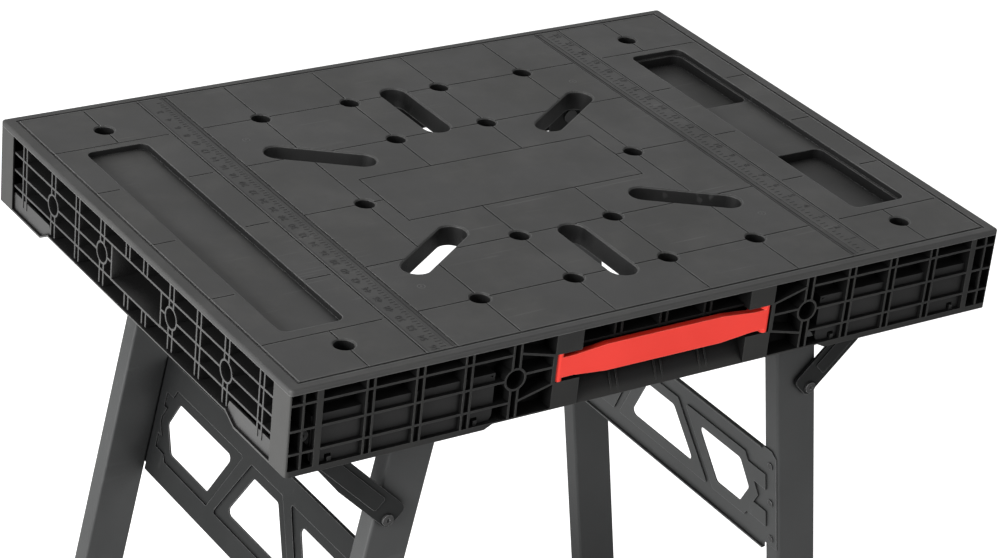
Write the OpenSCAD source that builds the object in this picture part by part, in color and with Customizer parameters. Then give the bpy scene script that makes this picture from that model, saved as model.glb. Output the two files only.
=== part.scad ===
// Folding workbench: a ribbed moulded top on two steel leg pairs that fold inwards under it.
// +X runs along the top, -Y is the side with the carrying handle, +Z is up. The origin is on the floor,
// under the centre of the top. Depths are measured down from the top surface.

/* [Worktop] */
// Length of the worktop, left to right
top_l = 824; // [780:4:900]
// Width of the worktop, front to back
top_w = 600; // [580:10:680]
// Height of the top surface above the floor
overall_h = 780; // [720:5:785]
// Height of the ribbed sides
side_h = 90; // [88:1:110]
// Thickness of the deck plate
deck_t = 4; // [3:0.5:5.5]
// Thickness of the deck along its outer border
rim_t = 6; // [5.5:0.5:9]
// Rounding of the upper edge of the deck
edge_r = 2; // [1:0.5:3.5]
// Rounding of the vertical corners
corner_r = 4; // [4:0.5:14]

/* [Dog holes and slots] */
// Diameter of the dog holes
hole_d = 20; // [16:0.5:24]
// Chamfer at the mouth of holes and slots
mouth_chamfer = 1.5; // [0.5:0.1:3]
// Wall around each hole and slot, under the deck
hole_wall = 3; // [2:0.5:4]
// Depth of the walls and ribs under the deck
under_h = 22; // [21:1:32]
// Distance from the centre line to the inner hole columns
hole_x_in = 55.7; // [48:0.1:62]
// Distance from the centre line to the outer hole columns
hole_x_out = 162.5; // [156:0.5:168]
// Distance from the grid centre to the inner hole rows
hole_y_in = 117; // [112:0.5:122]
// Distance from the grid centre to the outer hole rows
hole_y_out = 212; // [208:0.5:218]
// Shift of the whole hole grid towards the front
grid_shift = 5.5; // [0:0.5:8]
// Distance of a corner hole from the worktop's end
corner_hole_end = 86; // [80:1:90]
// Distance of a corner hole from the worktop's long edge
corner_hole_side = 58; // [54:1:62]
// Length of a clamp slot
slot_l = 115; // [100:1:120]
// Width of a clamp slot
slot_w = 29.6; // [26:0.2:32]
// Distance from the grid centre to the straight slots
slot_straight_y = 171; // [168:1:174]
// Distance from the grid centre to the diagonal slots, along the top
slot_diag_x = 150; // [146:1:154]
// Distance from the grid centre to the diagonal slots, across the top
slot_diag_y = 110.5; // [108:0.5:113]
// Angle of the diagonal slots to the long edge
slot_angle = 34; // [32:0.5:36]

/* [Trays and panel lines] */
// Width of the tool trays
tray_w = 67.5; // [60:0.5:72]
// Length of the tool trays
tray_l = 402; // [380:1:410]
// Depth of the trays
tray_depth = 6.5; // [4:0.5:8]
// Distance of a tray from the worktop's end
tray_end = 44; // [38:1:50]
// Shift of the trays towards the front
tray_shift = 3.4; // [0:0.2:6]
// Length of the raised step between the two deep pockets of the right tray
tray_step_l = 127; // [110:1:150]
// Depth of the two deep pockets below the tray floor
pocket_depth = 11; // [6:0.5:13]
// Corner radius of the trays
tray_r = 9; // [6:0.5:12]
// Inset of the border groove from the ends
border_inset_x = 13; // [8:0.5:15]
// Inset of the border groove from the long edges
border_inset_y = 10; // [8:0.5:12]
// Width of the border groove
border_w = 2.6; // [1:0.2:4]
// Width of a panel line
line_w = 1.4; // [0.8:0.1:2]
// Depth of the panel lines and grooves
line_depth = 0.9; // [0.4:0.1:1.5]
// Length of the framed field in the middle
field_l = 281; // [270:1:290]
// Width of the framed field in the middle
field_w = 97; // [92:1:100]
// Distance of a ruler's outer line from the worktop's end
ruler_end = 147; // [142:0.5:150]
// Distance between the two lines of a ruler
ruler_w = 33.5; // [30:0.5:36]
// Width of the smooth channel along a ruler's inner line
channel_w = 8; // [5:0.5:10]
// Depth of the smooth channel
channel_depth = 0.5; // [0.3:0.1:0.8]

/* [Side lattice] */
// Thickness of the lattice ribs
rib_t = 2.2; // [1.6:0.1:3]
// Distance between the rib pairs of the long sides
rib_pitch = 52.4; // [50:0.2:54]
// Distance between the two ribs of a pair
rib_gap = 7.8; // [6:0.2:9]
// Depth of the long sides, including their back wall
side_depth = 23; // [20:0.5:25]
// Depth of the ends, including their back wall
end_depth = 20.5; // [18:0.5:22]
// Outer diameter of the ring bosses
ring_d = 24; // [20:0.5:26]
// Bore of the ring bosses
ring_bore_d = 20; // [16:0.5:21]
// Depth of the ring bosses' centres
ring_depth = 43; // [40:0.5:46]
// Width of the corner posts on the ends
post_w = 30; // [26:0.5:34]
// Width of the thick upright near each corner
thick_rib_w = 6.6; // [5:0.2:8]
// Width of the hand-hold windows in the ends
window_w = 101; // [96:1:104]
// Upper edge of the hand-hold windows
window_top_depth = 25.5; // [24:0.5:28]
// Lower edge of the hand-hold windows
window_low_depth = 61; // [58:0.5:63]
// Rise of the lower edge in the middle of the long sides
side_rise = 4.5; // [2:0.5:6]
// Rise of the lower edge in the middle of the ends
end_rise = 9.5; // [6:0.5:11]

/* [Handle] */
// Overall length of the handle strap
handle_l = 251; // [240:1:251]
// Height of the strap in the middle
handle_h = 29; // [26:0.5:30]
// Height of the strap at its ends
handle_end_h = 21.6; // [18:0.2:24]
// Thickness of the strap
handle_t = 7; // [5:0.5:9]
// Diameter of the barrels at the strap's ends
handle_barrel_d = 9; // [7:0.5:10]
// Diameter of the lugs at the rear ends of the handle's arms
handle_lug_d = 6; // [4:0.5:7]
// Travel of the handle out of its recess
handle_travel = 14; // [8:1:16]

/* [Legs] */
// Splay of the legs from the vertical
splay = 10; // [9:0.25:10.5]
// Distance from the worktop's end to the leg line, in the plane of the top
leg_line_end = 191; // [185:1:194]
// Width of a leg tube, along the top
leg_w = 49; // [44:0.5:50]
// Thickness of a leg tube, across the top
leg_t = 23; // [20:0.5:24]
// Wall of the leg tubes
leg_wall = 1.5; // [1.2:0.1:2]
// Corner radius of the leg tubes
leg_r = 3; // [2:0.25:4]
// Distance from a long side of the top to the middle of the left pair's legs
left_leg_inset = 62; // [60:0.5:64]
// Distance from a long side of the top to the middle of the right pair's legs
right_leg_inset = 102; // [100:0.5:104]
// Depth of the left pair's pivot pins
left_pivot_depth = 49.5; // [49:0.1:50]
// Depth of the right pair's pivot pins
right_pivot_depth = 50.1; // [50:0.1:51]
// Offset of the pivot pins from the middle of the tube, inwards
pivot_offset = 14; // [12:0.5:15]
// Diameter of the pivot pins
pivot_d = 10; // [8:0.5:11]
// Height of the rubber feet below the tubes
foot_h = 6; // [4:0.5:10]

/* [Stays and braces] */
// Distance from the pivot down the leg to the stay rivet
stay_rivet_down = 154; // [150:0.5:158]
// Offset of the stay rivet from the middle of the tube, outwards
stay_rivet_off = 12.8; // [11:0.2:15]
// Distance of the upper stay pivot from the worktop's end
stay_pivot_end = 37.6; // [34:0.2:40]
// Depth of the upper stay pivot
stay_pivot_depth = 75; // [73:0.5:77]
// Width of a stay
stay_w = 28.5; // [24:0.5:30]
// Thickness of a stay
stay_t = 3; // [2:0.25:3.5]
// Diameter of the stay rivets
stay_rivet_d = 8; // [6:0.5:9]
// Distance from the pivot down the leg to the upper edge of a brace panel
brace_down = 229; // [225:1:232]
// Width of a brace panel along the leg
brace_w = 135; // [125:1:138]
// Sheet thickness of the brace panels
brace_t = 1.6; // [1:0.1:2.5]
// Height of the pressed pads on the brace panels
brace_press = 2; // [1:0.25:3]

/* [Brackets] */
// Length of a leg bracket
bracket_l = 195; // [190:1:198]
// Distance of a bracket's outer end from the worktop's end
bracket_end = 26; // [22:0.5:28]
// Sheet thickness of the brackets
bracket_t = 2; // [1.5:0.25:2.5]
// Depth of the underside of the bracket's roof
bracket_roof_depth = 36; // [35.5:0.1:36.5]

/* [Hidden] */
$fn = 48;
overrun = 1;
fit_gap = 0.1;
seat_gap = 0.2;
arc_gap = 0.005;
half_l = top_l / 2;
half_w = top_w / 2;
left_leg_y = half_w - left_leg_inset;
right_leg_y = half_w - right_leg_inset;
plastic = "#3d3d3c";
rivet_dark = "#2e2e2e";
steel_dark = "#4a4a49";
zinc = "#a9aaa8";

// deck and its underside
mouth_w = slot_w + 2 * mouth_chamfer;
rib_zone_l = top_l - 2 * end_depth;
rib_zone_w = top_w - 2 * side_depth;
tray_x = half_l - tray_end - tray_w / 2;
tray_wall = 3;
pocket_inset = 2.5;
line_gap = 4;
under_rib_t = 2.2;
under_pitch_y = 54;
boss_d = 13;
screw_d = 5;

// lattice levels of the long sides and of the ends
side_row_depths = [16.5, 43, 67];
end_row_depths = [24.5, 43.5, 61.5];
side_flange_depth = 84;
end_flange_depth = 77.5;
end_flange_t = 2;
back_wall_t = 2.5;
thin_rib_end = 14.5;
post_t = 2;
ring_x = 171.4;
mid_bar_rise = 4.8;
hand_pocket_depth = 46;
end_recess = 2.2;
end_panel_recess = 3;
end_panel_depth = 69.5;
side_step_in = 192;
side_step_out = 201;
end_step_in_inset = 113;
end_step_out_inset = 96;
end_step_in = half_w - end_step_in_inset;
end_step_out = half_w - end_step_out_inset;
ring_window_gap = 21.7;
ring_inset = 119.4;
window_pair_y = 18.4;
end_pair_inset = 54;
end_ring_ys = [window_w / 2 + ring_window_gap, half_w - ring_inset];
end_pair_ys = [window_pair_y, (end_ring_ys[0] + end_ring_ys[1]) / 2, half_w - end_pair_inset];
ring_pair_gap = 8.2;
thin_lattice_depth = 4.5;

// handle recess in the front side
recess_half_l = 98;
block_w = 30;
block_low_depth = 27;
block_high_depth = 57;
recess_depth = 38;
recess_wall = 2.5;
apron_rib_recess = 8;
apron_foot_depth = 85;
apron_head_depth = 60;
apron_foot_y = 1.5;
apron_head_y = 15;
lug_slot_gap = 0.3;
lug_h = 3;
handle_lug_y = 26;
handle_arm_t = 4;
handle_arm_h = 16;
handle_mid_share = 0.27;
handle_neck_share = 0.42;

// leg geometry, worked out for the left pair and mirrored for the right one
leg_line_x = half_l - leg_line_end;
stay_gap = 2;
channel_in_gap = 2.5;
channel_out_gap = 9;
nose_r = 13;
nose_drop = 2.5;
nose_chamfer = 11;
stay_pivot_x = half_l - stay_pivot_end;
stay_margin = 7.5;
stay_end = 9;
stay_corner_r = 7;
stay_taper_l = 90;
stay_taper_w = 10;
brace_edge = 10;
brace_rivet_in = 1;
brace_tab_in = 12;
brace_chamfer = 7;
brace_foot_step = 8;
brace_rivet_downs = [19.7, 68.4, 116.1];
brace_hole_r = 6;
brace_hole_top = 37.5;
brace_hole_low = 96.5;
brace_hole_mid = 68;
brace_pad = 14;
brace_pad_r = 3;
// the panels' cut-outs, measured from the middle and from the legs; the middle ones follow the
// right pair, whose panel is the narrower one
pattern_over = 2;
middle_top_share = 0.11;
middle_low_share = 0.25;
outer_top_share = 0.405;
outer_low_share = 0.535;
panel_pattern_w = right_leg_y + pattern_over;
middle_top_half = middle_top_share * panel_pattern_w;
middle_low_half = middle_low_share * panel_pattern_w;
outer_top_in = outer_top_share * panel_pattern_w;
outer_low_in = outer_low_share * panel_pattern_w;
outer_top_gap = 54;
outer_tip_gap = 42;
outer_low_gap = 56;
lobe_w = 20;
lobe_l = 60;
lobe_end = 6;
lobe_downs = [34, 83];
lip_h = 3;
lip_t = 2;
panel_rivet_d = 5;
panel_rivet_head_d = 8;
panel_rivet_tail_d = 6;
panel_rivet_head_h = 1.4;
spacer_d = 16;
pin_head_d = 15;
pin_head_h = 2.5;
rivet_head_d = 12;
rivet_head_h = 2.4;
rivet_dimple_d = 4.5;
rivet_dimple_depth = 1.6;
inner_head_h = 1.2;
screw_head_d = 10;
screw_head_h = 2.4;
screw_l = 18;
bracket_plate_inset = 5;
bracket_plate_y = half_w - bracket_plate_inset;
bracket_lip = 13;
bracket_low_depth = 85;
bracket_corner_r = 8;
bracket_flange = 12;
bracket_screw_in = 35;
bracket_screw_pitch = 60;
bracket_screw_inset = 32;
bracket_screw_y = half_w - bracket_screw_inset;
clip_window_w = 7;
clip_window_h = 6;
clip_depth = 80;
clip_in = 20;
hook_w = 4;

function pivot_depth(side) = side < 0 ? left_pivot_depth : right_pivot_depth;
function leg_y(side) = side < 0 ? left_leg_y : right_leg_y;
function pivot_x(side) = leg_line_x + pivot_depth(side) * tan(splay) - pivot_offset / cos(splay);
// A point of the leg, given by its distance down the leg from the pivot and outwards from it
function leg_point(side, down, out) = [
    pivot_x(side) + down * sin(splay) + out * cos(splay),
    pivot_depth(side) + down * cos(splay) - out * sin(splay)];
function stay_rivet_at(side) = leg_point(side, stay_rivet_down, pivot_offset + stay_rivet_off);
function stay_span(side) = norm([stay_pivot_x, stay_pivot_depth] - stay_rivet_at(side));
function foot_down(side, depth, out) = (depth - pivot_depth(side) + out * sin(splay)) / cos(splay);

// Plane outlines

module rect_from(x0, y0, x1, y1) {
    translate([min(x0, x1), min(y0, y1)]) square([abs(x1 - x0), abs(y1 - y0)]);
}

// Rounded convex outline: the corner arcs of radius r are centred on the points. With a gap the straight
// edges lie that much inside the arcs, so that slanted edges cross them cleanly
module soft_poly(points, r, gap = 0) {
    count = len(points);
    polygon(points);
    for (i = [0:count - 1]) {
        p = points[i];
        q = points[(i + 1) % count];
        along = (q - p) / norm(q - p);
        side = [along[1], -along[0]] * (r - gap);
        translate(p) circle(r = r);
        polygon([p + side, q + side, q - side, p - side]);
    }
}

module soft_rect(l, w, r) {
    soft_poly([[-l / 2 + r, -w / 2 + r], [l / 2 - r, -w / 2 + r], [l / 2 - r, w / 2 - r],
        [-l / 2 + r, w / 2 - r]], r);
}

module stadium(l, w) {
    square([l - w, w], center = true);
    for (s = [-1, 1]) translate([s * (l - w) / 2, 0]) circle(d = w);
}

// A straight bar between two points of the plane
module bar(p, q, w) {
    along = (q - p) / norm(q - p);
    side = [along[1], -along[0]] * w / 2;
    polygon([p + side, q + side, q - side, p - side]);
}

// Stands a drawing of (x, height) up as a plate of the given depth, front face on y = 0
module upright(depth) {
    translate([0, depth, 0]) rotate([90, 0, 0]) linear_extrude(depth) children();
}

// Stands a drawing of (y, height) up as a plate of the given depth, outer face on x = 0
module upright_end(depth) {
    rotate([90, 0, 90]) linear_extrude(depth) children();
}

module at_top() {
    translate([0, 0, overall_h]) children();
}

// Worktop deck

module slot_places() {
    translate([0, -grid_shift]) {
        for (s = [-1, 1]) translate([0, s * slot_straight_y]) rotate(90) children();
        for (s = [-1, 1], t = [-1, 1])
            translate([s * slot_diag_x, t * slot_diag_y]) rotate(s * t * slot_angle) children();
    }
}

module hole_places() {
    translate([0, -grid_shift]) {
        for (s = [-1, 1], x = [hole_x_in, hole_x_out], t = [-1, 1])
            translate([s * x, t * hole_y_out]) children();
        for (s = [-1, 1], t = [-1, 1]) translate([s * hole_x_in, t * hole_y_in]) children();
        for (s = [-1, 1]) translate([s * hole_x_out, 0]) children();
    }
    for (s = [-1, 1], t = [-1, 1])
        translate([s * (half_l - corner_hole_end), t * (half_w - corner_hole_side) - grid_shift / 2])
            children();
}

// Outline of the deck's rounded upper edge: x = 0 is where the arc begins, the plate lies at negative x
module edge_profile(reach) {
    intersection() {
        translate([0, -edge_r]) circle(r = edge_r);
        translate([0, -edge_r]) square(edge_r);
    }
    translate([-reach, -edge_r]) square([reach, edge_r]);
}

module deck_blank() {
    inner_x = half_l - edge_r;
    inner_y = half_w - edge_r;
    arc_x = half_l - corner_r;
    arc_y = half_w - corner_r;
    turn_r = corner_r - edge_r;
    translate([0, 0, -edge_r]) linear_extrude(edge_r) square([2 * arc_x, 2 * arc_y], center = true);
    difference() {
        translate([0, 0, -rim_t]) linear_extrude(rim_t - edge_r) soft_rect(top_l, top_w, corner_r);
        translate([0, 0, -rim_t - overrun]) linear_extrude(rim_t - deck_t + overrun)
            square([rib_zone_l, rib_zone_w], center = true);
    }
    for (s = [0, 180]) rotate(s) {
        translate([-arc_x, inner_y, 0]) rotate([90, 0, 90]) linear_extrude(2 * arc_x)
            edge_profile(turn_r);
        translate([inner_x, arc_y, 0]) rotate([90, 0, 0]) linear_extrude(2 * arc_y)
            edge_profile(turn_r);
    }
    for (s = [-1, 1], t = [-1, 1]) translate([s * arc_x, t * arc_y, 0])
        rotate(s > 0 ? (t > 0 ? 0 : -90) : (t > 0 ? 90 : 180))
            rotate_extrude(angle = 90) translate([turn_r, 0]) edge_profile(turn_r);
}

module tray_cut(l, w, depth) {
    translate([0, 0, -depth]) linear_extrude(depth + overrun) soft_rect(w, l, tray_r);
}

module slot_mouth() {
    run = slot_l - slot_w;
    for (s = [-1, 1]) translate([s * run / 2, 0, -mouth_chamfer])
        cylinder(h = mouth_chamfer, d1 = slot_w, d2 = mouth_w);
    rotate([90, 0, 90]) translate([0, 0, -run / 2]) linear_extrude(run)
        polygon([[-slot_w / 2, -mouth_chamfer], [slot_w / 2, -mouth_chamfer], [mouth_w / 2, 0],
            [-mouth_w / 2, 0]]);
    linear_extrude(overrun) stadium(run + mouth_w, mouth_w);
}

module groove(x0, y0, x1, y1, w) {
    translate([0, 0, -line_depth]) linear_extrude(line_depth + overrun)
        rect_from(x0 - (x0 == x1 ? w / 2 : 0), y0 - (y0 == y1 ? w / 2 : 0),
            x1 + (x0 == x1 ? w / 2 : 0), y1 + (y0 == y1 ? w / 2 : 0));
}

module frame_groove(l, w, line) {
    translate([0, 0, -line_depth]) linear_extrude(line_depth + overrun) difference() {
        square([l + line, w + line], center = true);
        square([l - line, w - line], center = true);
    }
}

module panel_lines() {
    in_x = half_l - border_inset_x;
    in_y = half_w - border_inset_y;
    ruler_out = half_l - ruler_end;
    ruler_in = ruler_out - ruler_w;
    corner_x = half_l - corner_hole_end;
    frame_groove(2 * in_x, 2 * in_y, border_w);
    translate([0, -grid_shift, 0]) frame_groove(field_l, field_w, line_w);
    for (s = [-1, 1]) {
        for (x = [ruler_in, ruler_out]) groove(s * x, -in_y, s * x, in_y, line_w);
        groove(s * hole_x_out, -in_y, s * hole_x_out, in_y, line_w);
        groove(s * hole_x_in, field_w / 2 - grid_shift, s * hole_x_in, in_y, line_w);
        groove(s * hole_x_in, -in_y, s * hole_x_in, -field_w / 2 - grid_shift, line_w);
        for (y = [-hole_y_out, -hole_y_in, 0, hole_y_in, hole_y_out])
            groove(s * (ruler_out + line_gap), y - grid_shift, s * in_x, y - grid_shift, line_w);
        groove(s * corner_x, hole_y_out - grid_shift, s * corner_x, in_y, line_w);
        groove(s * corner_x, -in_y, s * corner_x, -hole_y_out - grid_shift, line_w);
        groove(s * field_l / 2, -grid_shift, s * ruler_in, -grid_shift, line_w);
    }
    for (y = [-hole_y_out, -hole_y_in, hole_y_in, hole_y_out])
        groove(-ruler_in, y - grid_shift, ruler_in, y - grid_shift, line_w);
}

// The smooth channels beside the rulers' inner lines
module ruler_channels() {
    x = half_l - ruler_end - ruler_w + (line_w + channel_w) / 2;
    for (s = [-1, 1]) translate([s * x, 0, -channel_depth]) linear_extrude(channel_depth + overrun)
        square([channel_w, top_w - 2 * border_inset_y - border_w - line_gap], center = true);
}

// The two deep pockets of the right tray, each given by its lower and upper end across the top
pocket_spans = [[-tray_l / 2 - tray_shift + pocket_inset, -tray_step_l / 2],
    [tray_step_l / 2, tray_l / 2 - tray_shift - pocket_inset]];

module worktop_deck() {
    floor_depth = tray_depth + pocket_depth;
    color(plastic) at_top() difference() {
        union() {
            deck_blank();
            translate([0, 0, -under_h]) linear_extrude(under_h - edge_r) {
                hole_places() circle(d = hole_d + 2 * hole_wall);
                slot_places() stadium(slot_l + 2 * hole_wall, slot_w + 2 * hole_wall);
            }
            for (s = [-1, 1]) translate([s * tray_x, -tray_shift, -tray_depth - tray_wall])
                linear_extrude(tray_depth + tray_wall - edge_r)
                    soft_rect(tray_w + 2 * tray_wall, tray_l + 2 * tray_wall, tray_r + tray_wall);
            for (span = pocket_spans)
                translate([tray_x, (span[0] + span[1]) / 2, -floor_depth - tray_wall])
                    linear_extrude(floor_depth + tray_wall - edge_r)
                        soft_rect(tray_w + 2 * tray_wall - 2 * pocket_inset,
                            span[1] - span[0] + 2 * tray_wall, tray_r + tray_wall);
        }
        hole_places() {
            translate([0, 0, -under_h - overrun]) cylinder(h = under_h + 2 * overrun, d = hole_d);
            translate([0, 0, -mouth_chamfer])
                cylinder(h = mouth_chamfer, d1 = hole_d, d2 = hole_d + 2 * mouth_chamfer);
            cylinder(h = overrun, d = hole_d + 2 * mouth_chamfer);
        }
        slot_places() {
            translate([0, 0, -under_h - overrun]) linear_extrude(under_h + 2 * overrun)
                stadium(slot_l, slot_w);
            slot_mouth();
        }
        for (s = [-1, 1]) translate([s * tray_x, -tray_shift, 0]) tray_cut(tray_l, tray_w, tray_depth);
        for (span = pocket_spans) translate([tray_x, (span[0] + span[1]) / 2, 0])
            tray_cut(span[1] - span[0], tray_w - 2 * pocket_inset, floor_depth);
        ruler_channels();
        difference() {
            panel_lines();
            translate([0, 0, -line_depth - overrun])
                linear_extrude(line_depth + 3 * overrun) line_gaps();
        }
    }
}

// Where the panel lines stop short of the trays
module line_gaps() {
    for (s = [-1, 1]) translate([s * tray_x, -tray_shift])
        soft_rect(tray_w + 2 * line_gap, tray_l + 2 * line_gap, tray_r);
}

// Rib grid under the deck

// The screw places of one bracket, drawn for positive x and positive y
module corner_screw_places(side) {
    x_in = half_l - bracket_end - bracket_l + bracket_screw_in;
    inner_y = leg_y(side) - leg_t / 2 - channel_in_gap - bracket_t - bracket_flange / 2;
    for (x = [x_in, x_in + bracket_screw_pitch], y = [bracket_screw_y, inner_y])
        translate([x, y]) children();
}

module bracket_screw_places() {
    for (side = [-1, 1], t = [-1, 1])
        mirror([side < 0 ? 1 : 0, 0, 0]) mirror([0, t < 0 ? 1 : 0, 0])
            corner_screw_places(side) children();
}

module deck_ribs() {
    roof_top = bracket_roof_depth - bracket_t;
    color(plastic) at_top() difference() {
        union() {
            translate([0, 0, -under_h]) linear_extrude(under_h - deck_t) intersection() {
                square([rib_zone_l, rib_zone_w], center = true);
                union() {
                    for (i = [-7:7]) translate([i * rib_pitch, 0])
                        square([under_rib_t, rib_zone_w], center = true);
                    for (i = [-4.5:4.5]) translate([0, i * under_pitch_y])
                        square([rib_zone_l, under_rib_t], center = true);
                }
            }
            translate([0, 0, -roof_top]) linear_extrude(roof_top - deck_t)
                bracket_screw_places() circle(d = boss_d);
        }
        translate([0, 0, -under_h - overrun]) linear_extrude(under_h) {
            hole_places() circle(d = hole_d + 2 * hole_wall + 2 * seat_gap);
            slot_places()
                stadium(slot_l + 2 * hole_wall + 2 * seat_gap, slot_w + 2 * hole_wall + 2 * seat_gap);
            translate([0, -half_w + recess_depth / 2])
                square([2 * (recess_half_l + block_w) + 2 * seat_gap, recess_depth + 2 * seat_gap],
                    center = true);
        }
        for (s = [-1, 1]) translate([s * tray_x, -tray_shift, -tray_depth - tray_wall - seat_gap])
            linear_extrude(tray_depth + tray_wall + seat_gap)
                square([tray_w + 2 * tray_wall + 2 * seat_gap, tray_l + 2 * tray_wall + 2 * seat_gap],
                    center = true);
        translate([tray_x, -tray_shift, -tray_depth - pocket_depth - tray_wall - seat_gap])
            linear_extrude(tray_depth + pocket_depth + tray_wall)
                square([tray_w + 2 * tray_wall + 2 * seat_gap, tray_l + 2 * tray_wall + 2 * seat_gap],
                    center = true);
        translate([0, 0, -roof_top - overrun]) linear_extrude(screw_l + overrun)
            bracket_screw_places() circle(d = screw_d + fit_gap);
    }
}

// Long sides of the top

// Rib pattern of one half of a long side, drawn for positive x with depth as negative height
module side_ribs(inner_x) {
    last = 4;
    rail_top = -rim_t;
    rail_low = -side_h;
    for (i = [1:3]) for (g = [-1, 1]) translate([ring_x + i * rib_pitch + g * rib_gap / 2, 0])
        rect_from(-rib_t / 2, rail_top, rib_t / 2, rail_low);
    translate([ring_x + last * rib_pitch, 0])
        rect_from(-thick_rib_w / 2, rail_top, thick_rib_w / 2, rail_low);
    translate([half_l - thin_rib_end, 0]) rect_from(-rib_t / 2, rail_top, rib_t / 2, rail_low);
    for (g = [-1, 1]) translate([ring_x + g * ring_pair_gap / 2, 0])
        rect_from(-rib_t / 2, rail_top, rib_t / 2, rail_low);
    for (d = side_row_depths)
        rect_from(ring_x + ring_pair_gap / 2, -d - rib_t / 2, half_l, -d + rib_t / 2);
    translate([ring_x, -ring_depth]) circle(d = ring_d);
    if (inner_x == 0) {
        for (d = side_row_depths) rect_from(0, -d - rib_t / 2, ring_x, -d + rib_t / 2);
        for (i = [0:2], g = [-1, 1]) translate([i * rib_pitch + g * rib_gap / 2, 0])
            rect_from(-rib_t / 2, rail_top, rib_t / 2, rail_low);
    } else {
        rect_from(inner_x, -ring_depth + mid_bar_rise, ring_x, -ring_depth + mid_bar_rise - rib_t);
        bar([inner_x, -block_low_depth], [ring_x - ring_pair_gap / 2, -side_row_depths[0]], rib_t);
        bar([inner_x, -block_high_depth], [ring_x - ring_pair_gap / 2, -side_row_depths[2]], rib_t);
        rect_from(inner_x, -block_high_depth, inner_x + rib_t, -block_low_depth);
    }
}

// Lower edge of a long side or an end: the corners reach lower than the middle
module low_profile(half, step_in, step_out, rise) {
    polygon([[-half, -side_h], [-step_out, -side_h], [-step_in, rise - side_h],
        [step_in, rise - side_h], [step_out, -side_h], [half, -side_h], [half, -rim_t],
        [-half, -rim_t]]);
}

module worktop_outline() {
    soft_rect(top_l, top_w, corner_r);
}

// A long side, drawn as the front one: outer face on y = 0, inwards is +y
module long_side(with_handle) {
    bracket_out = half_l - bracket_end + seat_gap;
    bracket_in = half_l - bracket_end - bracket_l - seat_gap;
    roof_top = bracket_roof_depth - bracket_t;
    inner_x = with_handle ? recess_half_l + block_w : 0;
    module pattern() {
        intersection() {
            low_profile(half_l, side_step_in, side_step_out, side_rise);
            difference() {
                union() {
                    for (s = [0, 1]) mirror([s, 0]) side_ribs(inner_x);
                    rect_from(-half_l, -side_flange_depth, half_l, -side_h);
                    for (s = [-1, 1]) rect_from(s * half_l, -rim_t, s * (half_l - post_t), -side_h);
                }
                for (s = [-1, 1]) translate([s * ring_x, -ring_depth])
                    circle(d = ring_bore_d);
                if (with_handle) rect_from(-inner_x, -rim_t, inner_x, -side_h);
            }
        }
    }
    module bracket_zone() {
        for (s = [-1, 1]) rect_from(s * bracket_in, -roof_top, s * bracket_out, -side_h - overrun);
    }
    upright(side_depth) difference() {
        pattern();
        bracket_zone();
    }
    upright(thin_lattice_depth) intersection() {
        pattern();
        bracket_zone();
    }
    translate([0, side_depth - back_wall_t, 0]) upright(back_wall_t) difference() {
        low_profile(half_l - post_t, side_step_in, side_step_out, side_rise);
        bracket_zone();
        if (with_handle) rect_from(-inner_x, -rim_t, inner_x, -side_h);
    }
    for (s = [-1, 1]) translate([s > 0 ? half_l - post_t : -half_l, 0, -side_h])
        cube([post_t, post_w, side_h - rim_t]);
    for (s = [-1, 1], x = [bracket_in + clip_in, bracket_out - clip_in]) translate([s * x, 0, 0]) {
        translate([-hook_w / 2, thin_lattice_depth - rib_t, -side_flange_depth - overrun])
            cube([hook_w, rib_t, side_flange_depth + overrun - clip_depth + rib_t / 2]);
        translate([-hook_w / 2, thin_lattice_depth - rib_t, -clip_depth - rib_t / 2])
            cube([hook_w, 2 * rib_t, rib_t]);
    }
}

// Solid blocks, finger recess and aprons around the handle
module handle_recess() {
    inner_x = recess_half_l + block_w;
    mid_low = side_h - side_rise;
    arm_x = handle_l / 2 - handle_barrel_d / 2;
    for (s = [-1, 1]) difference() {
        union() {
            for (span = [[rim_t, block_low_depth], [block_high_depth, mid_low]])
                translate([s * (recess_half_l + block_w / 2) - block_w / 2, 0, -span[1]])
                    cube([block_w, recess_depth, span[1] - span[0]]);
            translate([s * (inner_x - rib_t / 2) - rib_t / 2, 0, -block_high_depth])
                cube([rib_t, recess_depth, block_high_depth - block_low_depth]);
        }
        // closed grooves in which the lugs of the handle's arms run
        translate([s * arm_x, handle_lug_y, -block_high_depth - lug_h - lug_slot_gap])
            linear_extrude(block_high_depth - block_low_depth + 2 * lug_h + 2 * lug_slot_gap)
                lug_slot();
    }
    translate([-inner_x, recess_depth - recess_wall, -mid_low]) cube([2 * inner_x, recess_wall,
        mid_low - rim_t]);
    // lower apron: a slanted wall that leaves room for the fingers behind the strap
    translate([-recess_half_l, 0, 0]) rotate([90, 0, 90]) linear_extrude(2 * recess_half_l)
        polygon([[0, -mid_low], [apron_foot_y, -apron_foot_depth + rib_t], [apron_head_y,
            -apron_head_depth], [apron_head_y + recess_wall, -apron_head_depth],
            [apron_foot_y + 2 * recess_wall, -apron_foot_depth + rib_t],
            [recess_depth, -apron_foot_depth + rib_t], [recess_depth, -mid_low]]);
    for (i = [-1:1], g = [-1, 1]) translate([i * rib_pitch + g * rib_gap / 2 - rib_t / 2, 0, 0]) {
        rotate([90, 0, 90]) linear_extrude(rib_t)
            polygon([[apron_foot_y, -apron_foot_depth + rib_t], [apron_head_y - rib_t, -apron_head_depth],
                [apron_head_y + rib_t, -apron_head_depth], [apron_foot_y + rib_t, -apron_foot_depth]]);
        translate([0, apron_rib_recess, -block_low_depth]) cube([rib_t, recess_depth - apron_rib_recess,
            block_low_depth - rim_t]);
    }
    translate([-recess_half_l, apron_rib_recess, -block_low_depth + rib_t / 2])
        cube([2 * recess_half_l, recess_depth - apron_rib_recess, rib_t]);
}

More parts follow.
